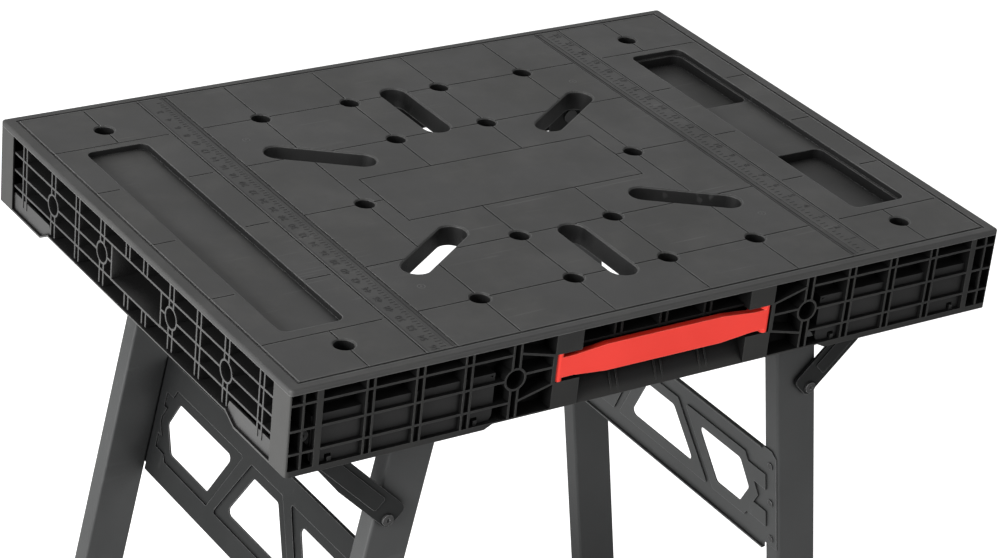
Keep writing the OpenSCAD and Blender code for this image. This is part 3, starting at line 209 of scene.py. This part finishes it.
def sums(tree, kind, first, second):
    """A maths node on two values, each a number or a socket."""
    node = tree.nodes.new("ShaderNodeMath")
    node.operation = kind
    for slot, value in zip(node.inputs, (first, second)):
        if isinstance(value, (int, float)):
            slot.default_value = value
        else:
            tree.links.new(value, slot)
    return node.outputs[0]


def spread(tree, value, low, high, out_low=0.0, out_high=1.0):
    """Stretches the range low to high of a value to out_low to out_high, smoothly."""
    node = tree.nodes.new("ShaderNodeMapRange")
    node.interpolation_type = "SMOOTHSTEP"
    node.inputs["From Min"].default_value = low
    node.inputs["From Max"].default_value = high
    node.inputs["To Min"].default_value = out_low
    node.inputs["To Max"].default_value = out_high
    tree.links.new(value, node.inputs["Value"])
    return node.outputs["Result"]


def place(tree):
    """Coordinates fixed to the piece, in metres."""
    return tree.nodes.new("ShaderNodeTexCoord").outputs["Object"]


def inside_by(tree, half, axis):
    """How far a point lies inside plus or minus half along an axis, in metres."""
    split = tree.nodes.new("ShaderNodeSeparateXYZ")
    tree.links.new(place(tree), split.inputs[0])
    return sums(tree, "SUBTRACT", half, sums(tree, "ABSOLUTE", split.outputs[axis], 0.0))


print("helpers ready")

# %% Group: grain of the mould
coarse_per_metre = 140.0
clouds_per_metre = 9.0
fine_share = 0.75

grain_group, g_in, g_out = new_group("mould_grain", [("Grains per metre", 900.0)],
                                     ["Height", "Mottle"])
g_where = place(grain_group)
fine = noise(grain_group, g_where, g_in.outputs["Grains per metre"], 3.0, 0.6)
coarse = noise(grain_group, g_where, coarse_per_metre, 2.0, 0.5)
cloud = noise(grain_group, g_where, clouds_per_metre, 4.0, 0.55)
g_height = sums(grain_group, "ADD", sums(grain_group, "MULTIPLY", fine, fine_share),
                sums(grain_group, "MULTIPLY", coarse, 1 - fine_share))
grain_group.links.new(g_height, g_out.inputs["Height"])
grain_group.links.new(spread(grain_group, cloud, 0.3, 0.7), g_out.inputs["Mottle"])
print("group", grain_group.name)

# %% Group: rubbed edges with a painted highlight
# The Bevel node rounds the normals near an edge. Where they turn away from the flat face, the edge
# is rubbed lighter by use and carries a painted highlight.
bevel_samples = 6
patches_per_metre = 45.0

edge_wear_highlight_group, e_in, e_out = new_group("rubbed_and_highlit_edges", [("Width", 0.0012), ("Patchiness", 0.5)],
                                    ["Mask"])
edge_wear_highlight_group.interface.new_socket("Rounded", in_out="OUTPUT", socket_type="NodeSocketVector")
rounder = edge_wear_highlight_group.nodes.new("ShaderNodeBevel")
rounder.samples = bevel_samples
edge_wear_highlight_group.links.new(e_in.outputs["Width"], rounder.inputs["Radius"])
flat = edge_wear_highlight_group.nodes.new("ShaderNodeNewGeometry")
match = edge_wear_highlight_group.nodes.new("ShaderNodeVectorMath")
match.operation = "DOT_PRODUCT"
edge_wear_highlight_group.links.new(rounder.outputs["Normal"], match.inputs[0])
edge_wear_highlight_group.links.new(flat.outputs["Normal"], match.inputs[1])
sharp = spread(edge_wear_highlight_group, match.outputs["Value"], 0.995, 0.80)
patches = noise(edge_wear_highlight_group, place(edge_wear_highlight_group), patches_per_metre, 3.0, 0.6)
patch = spread(edge_wear_highlight_group, patches, 0.35, 0.65)
whole = sums(edge_wear_highlight_group, "SUBTRACT", 1.0, e_in.outputs["Patchiness"])
held = sums(edge_wear_highlight_group, "ADD", whole, sums(edge_wear_highlight_group, "MULTIPLY", patch,
                                           e_in.outputs["Patchiness"]))
edge_wear_highlight_group.links.new(sums(edge_wear_highlight_group, "MULTIPLY", sharp, held), e_out.inputs["Mask"])
edge_wear_highlight_group.links.new(rounder.outputs["Normal"], e_out.inputs["Rounded"])
print("group", edge_wear_highlight_group.name)

# %% Group: fine scratches
# Noise that is stretched along one direction gives streaks. Three directions cross each other.
streaks = ((0.35, 26.0), (-0.9, 34.0), (1.7, 30.0))  # angle in radians, and stretch
streaks_per_metre = 6.0
streak_squash = 10
breaks_per_metre = 7.0

scratch_group, s_in, s_out = new_group("fine_scratches", [("Amount", 0.5)], ["Mask"])
s_where = place(scratch_group)
lines = None
for angle, stretch in streaks:
    tilt = scratch_group.nodes.new("ShaderNodeMapping")
    tilt.inputs["Rotation"].default_value = (0.2 * angle, 0.1, angle)
    tilt.inputs["Scale"].default_value = (streaks_per_metre, streaks_per_metre * stretch,
                                          streaks_per_metre * streak_squash)
    scratch_group.links.new(s_where, tilt.inputs["Vector"])
    streak = spread(scratch_group, noise(scratch_group, tilt.outputs["Vector"], 1.0, 1.0, 0.4),
                    0.70, 0.76)
    lines = streak if lines is None else sums(scratch_group, "MAXIMUM", lines, streak)
breaks = noise(scratch_group, s_where, breaks_per_metre, 3.0, 0.6)
broken = spread(scratch_group, breaks, 0.48, 0.66)
s_mask = sums(scratch_group, "MULTIPLY", sums(scratch_group, "MULTIPLY", lines, broken),
              s_in.outputs["Amount"])
scratch_group.links.new(s_mask, s_out.inputs["Mask"])
print("group", scratch_group.name)

# %% Group: settled dust
drifts_per_metre = 14.0
level_from, level_full = 0.55, 0.98  # upright part of the normal

dust_group, d_in, d_out = new_group("settled_dust", [("Amount", 0.3)], ["Mask"])
facing = dust_group.nodes.new("ShaderNodeNewGeometry")
split = dust_group.nodes.new("ShaderNodeSeparateXYZ")
dust_group.links.new(facing.outputs["Normal"], split.inputs[0])
upward = spread(dust_group, split.outputs["Z"], level_from, level_full)
drifts = noise(dust_group, place(dust_group), drifts_per_metre, 6.0, 0.65)
drift = spread(dust_group, drifts, 0.42, 0.72)
d_mask = sums(dust_group, "MULTIPLY", sums(dust_group, "MULTIPLY", upward, drift),
              d_in.outputs["Amount"])
dust_group.links.new(d_mask, d_out.inputs["Mask"])
print("group", dust_group.name)

# %% Group: painted shade in deep recesses
# Ambient occlusion is 1 on an open face and falls where other faces stand close by. Finishes
# use the mask to paint shade into their colour there.
recess_samples = 6

recess_shade_group, r_in, r_out = new_group("painted_recess_shade", [("Depth", 0.03), ("Open", 0.86),
                                                        ("Closed", 0.52)], ["Mask"])
shade = recess_shade_group.nodes.new("ShaderNodeAmbientOcclusion")
shade.samples = recess_samples
recess_shade_group.links.new(r_in.outputs["Depth"], shade.inputs["Distance"])
narrow = sums(recess_shade_group, "SUBTRACT", r_in.outputs["Open"], shade.outputs["AO"])
reach = sums(recess_shade_group, "SUBTRACT", r_in.outputs["Open"], r_in.outputs["Closed"])
closed_in = sums(recess_shade_group, "DIVIDE", narrow, reach)
recess_shade_group.links.new(spread(recess_shade_group, closed_in, 0.0, 1.0), r_out.inputs["Mask"])
print("group", recess_shade_group.name)

# %% Group: painted light on faces at the very ends of the top
end_off, end_on = 0.0015, 0.0005  # metres inside the end

end_light_group, x_in, x_out = new_group("painted_end_light", [("Half length", 0.412)], ["Mask"])
from_end = inside_by(end_light_group, x_in.outputs["Half length"], "X")
end_light_group.links.new(spread(end_light_group, from_end, end_off, end_on), x_out.inputs["Mask"])
print("group", end_light_group.name)

# %% Group: painted shade on faces that stand back behind the outer face of the long sides
back_from, back_full = 0.0015, 0.0070  # metres behind the outer face

setback_shade_group, i_in, i_out = new_group("painted_setback_shade", [("Half width", 0.300)], ["Mask"])
from_face = inside_by(setback_shade_group, i_in.outputs["Half width"], "Y")
setback_shade_group.links.new(spread(setback_shade_group, from_face, back_from, back_full), i_out.inputs["Mask"])
print("group", setback_shade_group.name)

# %% Group: painted shade on steep walls of the slots, holes and trays, away from the top's rim
steep_from, steep_full = 0.75, 0.45  # upright part of the normal
rim_near, rim_clear = 0.005, 0.007  # metres inside the rim

wall_shade_group, w_in, w_out = new_group("painted_wall_shade", [("Half length", 0.412), ("Half width", 0.300)],
                                    ["Mask"])
w_facing = wall_shade_group.nodes.new("ShaderNodeNewGeometry")
w_normal = wall_shade_group.nodes.new("ShaderNodeSeparateXYZ")
wall_shade_group.links.new(w_facing.outputs["Normal"], w_normal.inputs[0])
upright = sums(wall_shade_group, "ABSOLUTE", w_normal.outputs["Z"], 0.0)
w_mask = spread(wall_shade_group, upright, steep_from, steep_full)
for label, axis in (("Half length", "X"), ("Half width", "Y")):
    off_rim = inside_by(wall_shade_group, w_in.outputs[label], axis)
    w_mask = sums(wall_shade_group, "MULTIPLY", w_mask, spread(wall_shade_group, off_rim, rim_near, rim_clear))
wall_shade_group.links.new(w_mask, w_out.inputs["Mask"])
print("group", wall_shade_group.name)

# %% [markdown]
# ## The finishes
# Every finish is one Principled surface. Its colour starts from two close tones mixed by the
# mottle, turns lighter where edges are rubbed or scratched and where edges carry a painted
# highlight, and takes a little dust on top. Where a finish asks for it, deep recesses, set-back
# faces and slot walls get painted shade, a darker colour for the little light that gets there,
# and the top's very ends get painted light. The grain drives the bump, and the roughness moves a
# little with the mottle, so that highlights break up as they do on the real thing.


# %% One builder for all finishes
smoother_by = 0.05  # how far the mottle lowers the roughness
rougher_by = 0.06  # and how far it raises it
dust_roughness = 0.3
recess_roughness = 0.95
grain_height = 0.0002
scratch_cut = 0.6  # depth of a scratch as a share of the grain's height


def add_group(tree, group, **values):
    """Places a shared effect in a material and sets its inputs."""
    node = tree.nodes.new("ShaderNodeGroup")
    node.node_tree = group
    for label, value in values.items():
        node.inputs[label.replace("_", " ")].default_value = value
    return node


def grey(level):
    """A neutral tone."""
    return (level, level, level)


def tint(tree, share, first, second):
    """Mixes two colours, each a tuple or a socket, by a mask."""
    node = tree.nodes.new("ShaderNodeMix")
    node.data_type = "RGBA"
    for label, colour in (("A", first), ("B", second)):
        slot = [s for s in node.inputs if s.name == label and s.type == "RGBA"][0]
        if isinstance(colour, tuple):
            slot.default_value = (*colour, 1)
        else:
            tree.links.new(colour, slot)
    tree.links.new(share, node.inputs[0])
    return [s for s in node.outputs if s.type == "RGBA"][0]


def finish(name, tone, tone_b, rub_and_highlight, rough, grains, bump, edge=0.0010, patchy=0.5,
           scratch=0.3, dust=0.15, metal=0.0, shine=0.5, dust_tone=(0.32, 0.31, 0.29),
           recess=0.0, recess_shade_tone=grey(0.0015), open_at=0.86, closed_at=0.52,
           end_tone=None, inner_tone=None, wall_shade_tone=None):
    """A material with mould grain, rubbed and highlit edges, scratches, dust, painted light and
    shade.

    Colours are linear. edge is the width of a rounded edge, and recess the depth, both in metres.
    """
    material = bpy.data.materials.new(name)
    material.use_nodes = True
    tree = material.node_tree
    surface = tree.nodes["Principled BSDF"]
    grain = add_group(tree, grain_group, Grains_per_metre=grains)
    edges = add_group(tree, edge_wear_highlight_group, Width=edge, Patchiness=patchy)
    scratches = add_group(tree, scratch_group, Amount=scratch)
    settled = add_group(tree, dust_group, Amount=dust)
    worn_and_highlit = sums(tree, "MAXIMUM", edges.outputs["Mask"], scratches.outputs["Mask"])
    colour = tint(tree, grain.outputs["Mottle"], tone, tone_b)
    # Painted shade: steep walls of slots, holes and trays turn darker.
    if wall_shade_tone:
        shaded_walls = add_group(tree, wall_shade_group, Half_length=deck_high.x, Half_width=deck_high.y)
        colour = tint(tree, shaded_walls.outputs["Mask"], colour, wall_shade_tone)
    # Painted shade: faces set back inside the long sides turn darker.
    if inner_tone:
        shaded_behind = add_group(tree, setback_shade_group, Half_width=deck_high.y)
        colour = tint(tree, shaded_behind.outputs["Mask"], colour, inner_tone)
    # Painted light: the long sides' very ends take the lighter end tone.
    if end_tone:
        lit_end = add_group(tree, end_light_group, Half_length=deck_high.x)
        colour = tint(tree, lit_end.outputs["Mask"], colour, end_tone)
    # Edges turn lighter from real wear and from a painted highlight; scratches from wear alone.
    colour = tint(tree, worn_and_highlit, colour, rub_and_highlight)
    colour = tint(tree, settled.outputs["Mask"], colour, dust_tone)
    # Painted shade: the colour darkens towards the recess shade tone where close faces keep light
    # away.
    if recess > 0:
        hollow_shade = add_group(tree, recess_shade_group, Depth=recess, Open=open_at, Closed=closed_at)
        colour = tint(tree, hollow_shade.outputs["Mask"], colour, recess_shade_tone)
    tree.links.new(colour, surface.inputs["Base Color"])
    dull = spread(tree, grain.outputs["Mottle"], 0.0, 1.0, rough - smoother_by,
                  rough + rougher_by)
    dull = sums(tree, "ADD", dull,
                sums(tree, "MULTIPLY", settled.outputs["Mask"], dust_roughness))
    if recess > 0:
        dull = sums(tree, "MAXIMUM", dull,
                    sums(tree, "MULTIPLY", hollow_shade.outputs["Mask"], recess_roughness))
    tree.links.new(dull, surface.inputs["Roughness"])
    surface.inputs["Metallic"].default_value = metal
    surface.inputs["Specular IOR Level"].default_value = shine
    relief = tree.nodes.new("ShaderNodeBump")
    relief.inputs["Strength"].default_value = bump
    relief.inputs["Distance"].default_value = grain_height
    height = sums(tree, "SUBTRACT", grain.outputs["Height"],
                  sums(tree, "MULTIPLY", scratches.outputs["Mask"], scratch_cut))
    tree.links.new(height, relief.inputs["Height"])
    tree.links.new(edges.outputs["Rounded"], relief.inputs["Normal"])
    tree.links.new(relief.outputs["Normal"], surface.inputs["Normal"])
    return material


print("builder ready")

# %% Mix the finishes of the moulded top
# The top takes painted shade on its slot, hole and tray walls and in its recesses.
top_plastic = finish(
    "charcoal_top_plastic", grey(0.030), (0.037, 0.037, 0.036), (0.150, 0.150, 0.148),
    rough=0.50, grains=1100.0, bump=0.35, edge=0.0018, patchy=0.3, scratch=0.20, dust=0.05,
    shine=0.20, recess=0.035, open_at=0.80, closed_at=0.45, wall_shade_tone=grey(0.0065))
# Painted light: a lighter copy of the charcoal plastic for the lamp-lit ends of the top.
lit_end_plastic = finish(
    "charcoal_end_plastic_painted_light", grey(0.042), (0.052, 0.052, 0.051), (0.100, 0.100, 0.098),
    rough=0.46, grains=900.0, bump=0.20, edge=0.0008, patchy=0.35, scratch=0.10, dust=0.04,
    shine=0.14, recess=0.045, open_at=0.84, closed_at=0.56)


def shaded_charcoal_plastic(name, **extra):
    """The long sides' and ribs' charcoal plastic, darker than the top as painted shade."""
    return finish(
        name, grey(0.016), (0.021, 0.021, 0.020), (0.085, 0.085, 0.083),
        rough=0.46, grains=900.0, bump=0.20, edge=0.0008, patchy=0.35, scratch=0.10, dust=0.04,
        shine=0.10, recess=0.05, open_at=0.90, closed_at=0.62, **extra)


# The long sides take painted light at their very ends and painted shade on faces set back inside.
side_plastic = shaded_charcoal_plastic("charcoal_side_plastic", end_tone=(0.039, 0.039, 0.038),
                            inner_tone=grey(0.0035))
rib_plastic = shaded_charcoal_plastic("charcoal_rib_plastic")
# Painted shade: ticks, numbers and double lines take a darker tone for the shade of moulded marks.
shaded_ruler_marks = finish(
    "ruler_marks_plastic_painted_shade", grey(0.011), grey(0.016), grey(0.05),
    rough=0.50, grains=1100.0, bump=0.15, edge=0.0002, scratch=0.1, dust=0.02, shine=0.2)
# Painted highlight: a lighter copy of the top plastic for the border groove's edge and the moulding
# marks.
highlight_plastic = finish(
    "painted_highlight_plastic", (0.060, 0.060, 0.059), (0.075, 0.075, 0.074), grey(0.14),
    rough=0.45, grains=1100.0, bump=0.15, edge=0.0002, scratch=0.2, dust=0.05, shine=0.2)
red_plastic = finish(
    "red_grip_plastic", (0.68, 0.022, 0.010), (0.73, 0.026, 0.013), (0.92, 0.20, 0.15),
    rough=0.42, grains=1000.0, bump=0.18, edge=0.0010, scratch=0.15, dust=0.05, shine=0.4)
print("plastics", [m.name for m in bpy.data.materials if "plastic" in m.name])

# %% Mix the finishes of the legs and brackets
# Painted shade: the 0.3 m recess mask darkens the legs and panels under the top and by other parts.
painted_steel = finish(
    "dark_painted_steel", (0.034, 0.035, 0.035), (0.040, 0.041, 0.041), grey(0.16),
    rough=0.42, grains=420.0, bump=0.16, edge=0.0012, patchy=0.25, scratch=0.08, dust=0.05,
    shine=0.22, recess=0.30, open_at=0.96, closed_at=0.42, recess_shade_tone=(0.004, 0.0042, 0.0044))
# Painted shade: a darker copy of the painted steel for the left brace panel and the stays.
shaded_panel_steel = finish(
    "panel_steel_painted_shade", (0.012, 0.0125, 0.0125), (0.016, 0.0165, 0.0165), grey(0.15),
    rough=0.40, grains=420.0, bump=0.16, edge=0.0012, patchy=0.25, scratch=0.05, dust=0.03,
    shine=0.06, recess=0.30, open_at=0.92, closed_at=0.42, recess_shade_tone=(0.003, 0.0032, 0.0034))
bracket_paint = finish(
    "black_bracket_paint", grey(0.009), grey(0.013), grey(0.07),
    rough=0.55, grains=420.0, bump=0.20, edge=0.0006, patchy=0.8, scratch=0.10, dust=0.03,
    shine=0.15, recess=0.05, open_at=0.76, closed_at=0.40)
zinc_steel = finish(
    "zinc_plated_steel", grey(0.50), (0.62, 0.62, 0.61), grey(0.78),
    rough=0.34, grains=700.0, bump=0.20, edge=0.0004, scratch=0.4, dust=0.05, metal=1.0)
dark_rivet = finish(
    "dark_rivet_steel", grey(0.022), grey(0.032), grey(0.30),
    rough=0.36, grains=700.0, bump=0.20, edge=0.0005, patchy=0.2, scratch=0.2, dust=0.04,
    metal=0.2, shine=0.3)
black_nylon = finish(
    "black_nylon", grey(0.016), grey(0.022), grey(0.06),
    rough=0.45, grains=900.0, bump=0.10, edge=0.0003, scratch=0.1, dust=0.1)
foot_rubber = finish(
    "black_foot_rubber", grey(0.018), (0.028, 0.028, 0.027), grey(0.06),
    rough=0.72, grains=1500.0, bump=0.5, edge=0.0010, scratch=0.3, dust=0.35, shine=0.3)
print("finishes", [m.name for m in bpy.data.materials])

# %% [markdown]
# ## Dressing the solids
# Each node of the imported model keeps its shape and gets the finish of its real counterpart, some in
# lighter or darker copies that paint light or shade: the ends, the long sides and ribs, the left
# brace panel and the stays. Most are told by a word in their name, and what no row names is a
# painted steel tube or panel.

# %% Give every node its finish
finish_by_name = {
    "worktop_deck": top_plastic,
    "deck_ribs": rib_plastic,
    "front_side": side_plastic,
    "back_side": side_plastic,
    "left_end": lit_end_plastic,
    "right_end": lit_end_plastic,
    "carry_handle": red_plastic,
    "left_brace_panel": shaded_panel_steel,
    "bracket_screws": zinc_steel,
}
finish_by_word = [
    ("spacers", black_nylon),
    ("foot", foot_rubber),
    ("bracket", bracket_paint),
    ("rivets", dark_rivet),
    ("pins", dark_rivet),
    ("stay", shaded_panel_steel),
]


def finish_for(name):
    """The finish of a node: by its whole name, or by the first word that its name holds."""
    if name in finish_by_name:
        return finish_by_name[name]
    for word, chosen in finish_by_word:
        if word in name:
            return chosen
    return painted_steel


for name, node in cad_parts.items():
    node.data.materials.clear()
    node.data.materials.append(finish_for(name))
print("dressed", len(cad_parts), "nodes")

# %% [markdown]
# ## The rulers
# Two rulers are moulded into the top, one beside each tray. The left one is in centimetres, from the
# back to the front, with a tick every 5 mm and a number every 2 cm. The right one is in inches, from
# the front to the back, with a tick every quarter inch and a number every inch. On both, every second
# tick is longer. The marks are made as tiny solid bars and letters that stand 0.3 mm proud.
# The marks and the rulers' double lines are coloured darker than the top as painted shade.

# %% Describe the two rulers
inch = 0.0254
rulers = [
    {"name": "left", "side": -1, "zero_y": 0.277, "tick_step": -0.005, "ticks": 112,
     "tick_x": 0.2407, "number_x": 0.2533, "count_by": 2},
    {"name": "right", "side": 1, "zero_y": -0.282, "tick_step": inch / 4, "ticks": 88,
     "tick_x": 0.2444, "number_x": 0.2560, "count_by": 1},
]
ticks_per_number = 4
mark_proud = 0.0003
tick_width = 0.0008
draft_share = 0.2
short_tick = 0.0046
long_tick = 0.0062
print("rulers", [ruler["name"] for ruler in rulers])


# %% Make the ticks
def raised_bar(mesh, x0, x1, y, width, z, proud):
    """A low bar with drafted flanks from x0 to x1, as a mould leaves it."""
    draft = min(width, x1 - x0) * draft_share
    rings = []
    for inset, level in ((0.0, z - proud), (draft, z + proud)):
        rings.append([mesh.verts.new(p) for p in (
            (x0 + inset, y - width / 2 + inset, level), (x1 - inset, y - width / 2 + inset, level),
            (x1 - inset, y + width / 2 - inset, level), (x0 + inset, y + width / 2 - inset, level))])
    mesh.faces.new(rings[1])
    for i in range(4):
        j = (i + 1) % 4
        mesh.faces.new((rings[0][i], rings[0][j], rings[1][j], rings[1][i]))


def add_piece(name, mesh, material, body):
    """Turns a finished bmesh into a piece that rides on a body."""
    bmesh.ops.recalc_face_normals(mesh, faces=mesh.faces)
    data = bpy.data.meshes.new(name)
    mesh.to_mesh(data)
    mesh.free()
    data.materials.append(material)
    piece = bpy.data.objects.new(name, data)
    scene.collection.objects.link(piece)
    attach(piece, body)
    return piece


for ruler in rulers:
    mesh = bmesh.new()
    for count in range(ruler["ticks"] + 1):
        y = ruler["zero_y"] + count * ruler["tick_step"]
        reach = long_tick if count % 2 == 0 else short_tick
        ends = sorted((ruler["side"] * ruler["tick_x"], ruler["side"] * (ruler["tick_x"] + reach)))
        raised_bar(mesh, *ends, y, tick_width, top_z, mark_proud)
    ticks = add_piece(ruler["name"] + "_ruler_ticks", mesh, shaded_ruler_marks, "worktop")
    print(ticks.name, len(ticks.data.polygons), "faces")

# %% Make the rulers' double lines, dark as painted groove shade, and the painted highlight along the border groove
line_half = 0.2885
line_places = (0.2350, 0.2620)
line_proud = 0.0002
border_x = 0.3965
border_y = 0.2875
lip_width = 0.0009

# The double lines are dark strips: painted shade standing for grooves.
doubles = bmesh.new()
for side in (-1, 1):
    for line_x in line_places:
        mid_x = side * line_x
        raised_bar(doubles, mid_x - lip_width / 2, mid_x + lip_width / 2, 0, 2 * line_half, top_z,
                   line_proud)
double_lines = add_piece("ruler_double_lines", doubles, shaded_ruler_marks, "worktop")
# Painted highlight: light bars along the inner edge of the border groove.
highlight_bars = bmesh.new()
for side in (-1, 1):
    mid_x = side * border_x
    raised_bar(highlight_bars, mid_x - lip_width / 2, mid_x + lip_width / 2, 0, 2 * border_y, top_z,
               line_proud)
    raised_bar(highlight_bars, -border_x, border_x, side * border_y, lip_width, top_z, line_proud)
border_highlight = add_piece("border_highlight", highlight_bars, highlight_plastic, "worktop")
print(double_lines.name, border_highlight.name)

# %% Make the numbers
number_size = 0.0105
curve_steps = 3


def number_mesh(text):
    """The outline of a number as a thin solid, lying flat with its middle at the origin."""
    curve = bpy.data.curves.new("number", "FONT")
    curve.body = text
    curve.size = number_size
    curve.align_x = "CENTER"
    curve.align_y = "CENTER"
    curve.extrude = mark_proud
    curve.resolution_u = curve_steps
    holder = bpy.data.objects.new("number", curve)
    scene.collection.objects.link(holder)
    bpy.context.view_layer.update()
    data = bpy.data.meshes.new_from_object(holder.evaluated_get(
        bpy.context.evaluated_depsgraph_get()))
    bpy.data.objects.remove(holder)
    bpy.data.curves.remove(curve)
    return data


for ruler in rulers:
    mesh = bmesh.new()
    for place_no in range(1, ruler["ticks"] // ticks_per_number + 1):
        data = number_mesh(str(place_no * ruler["count_by"]))
        y = ruler["zero_y"] + place_no * ticks_per_number * ruler["tick_step"]
        data.transform(Matrix.Translation((ruler["side"] * ruler["number_x"], y, top_z))
                       @ Matrix.Rotation(math.radians(-90 * ruler["side"]), 4, "Z"))
        mesh.from_mesh(data)
        bpy.data.meshes.remove(data)
    numbers = add_piece(ruler["name"] + "_ruler_numbers", mesh, shaded_ruler_marks, "worktop")
    print(numbers.name, len(numbers.data.polygons), "faces")

# %% [markdown]
# ## Floors of the brackets' corners
# Thin strips of plastic close the gap between the lattices and the brackets from below. Without them
# the white floor would shine through a few of the dark cells.

# %% Close the corners from below
# Heights above the floor, then the strips' edges, measured from the middle of the top.
strip_low = 0.6905
strip_high = 0.6920
middle_rise = 0.0045
bracket_in_x, bracket_out_x = 0.1990, 0.3955
block_in_x = 0.1830
gap_in_x, end_in_x = 0.3740, 0.4095
corner_in_y, gap_in_y = 0.2500, 0.2620
bracket_y, face_in_y = 0.2865, 0.2980
# One row per strip: its span in x, its span in y and how much it is raised.
strip_spans = [
    ((bracket_in_x, bracket_out_x), (bracket_y, face_in_y), 0.0),
    ((block_in_x, bracket_in_x), (bracket_y, face_in_y), middle_rise),
    ((gap_in_x, end_in_x), (gap_in_y, bracket_y), 0.0),
    ((bracket_out_x, end_in_x), (corner_in_y, face_in_y), 0.0),
]


def block(mesh, low, high):
    """A plain box between two corners."""
    sized = Matrix.Diagonal((*[b - a for a, b in zip(low, high)], 1))
    middle = Matrix.Translation([(a + b) / 2 for a, b in zip(low, high)])
    bmesh.ops.create_cube(mesh, size=1, matrix=middle @ sized)


strips = bmesh.new()
for sx in (-1, 1):
    for sy in (-1, 1):
        for span_x, span_y, rise in strip_spans:
            xs = sorted(sx * v for v in span_x)
            ys = sorted(sy * v for v in span_y)
            block(strips, (xs[0], ys[0], strip_low + rise), (xs[1], ys[1], strip_high + rise))
corner_floors = add_piece("corner_floors", strips, side_plastic, "worktop")
print(corner_floors.name, len(corner_floors.data.polygons), "faces")

# %% [markdown]
# ## Moulding marks
# Four small rings with a pip in the middle sit beside the diagonal slots. They are where the plastic
# ran into the mould, and each is turned from one low profile, as a lathe would make it.

# %% Make the moulding marks
mark_x = 0.202
mark_y = 0.171
grid_shift = 0.0055  # the panel lines lie this much nearer to the front
# Points of radius and height above the top, from the pip to the ring's outer foot.
ring_outline = [(0.0, 0.00030), (0.0006, 0.00028), (0.0012, 0.0), (0.0031, -0.0001),
                (0.0035, 0.00016), (0.0040, 0.00016), (0.0044, -0.0001)]


def turned(mesh, outline, centre, steps=32):
    """Turns an outline of (radius, height) points about the vertical through centre."""
    rings = []
    for i in range(steps):
        angle = 2 * math.pi * i / steps
        rings.append([mesh.verts.new((centre[0] + r * math.cos(angle),
                                      centre[1] + r * math.sin(angle), centre[2] + h))
                      for r, h in outline[1:]])
    tip = mesh.verts.new((centre[0], centre[1], centre[2] + outline[0][1]))
    for i in range(steps):
        here, there = rings[i], rings[(i + 1) % steps]
        mesh.faces.new((tip, here[0], there[0]))
        for j in range(len(here) - 1):
            mesh.faces.new((here[j], here[j + 1], there[j + 1], there[j]))


marks = bmesh.new()
for sx in (-1, 1):
    for sy in (-1, 1):
        turned(marks, ring_outline, (sx * mark_x, sy * mark_y - grid_shift, top_z))
for face in marks.faces:
    face.smooth = True
# The marks take the lighter plastic as a painted highlight.
mould_marks = add_piece("moulding_marks", marks, highlight_plastic, "worktop")
print(mould_marks.name, len(mould_marks.data.polygons), "faces")
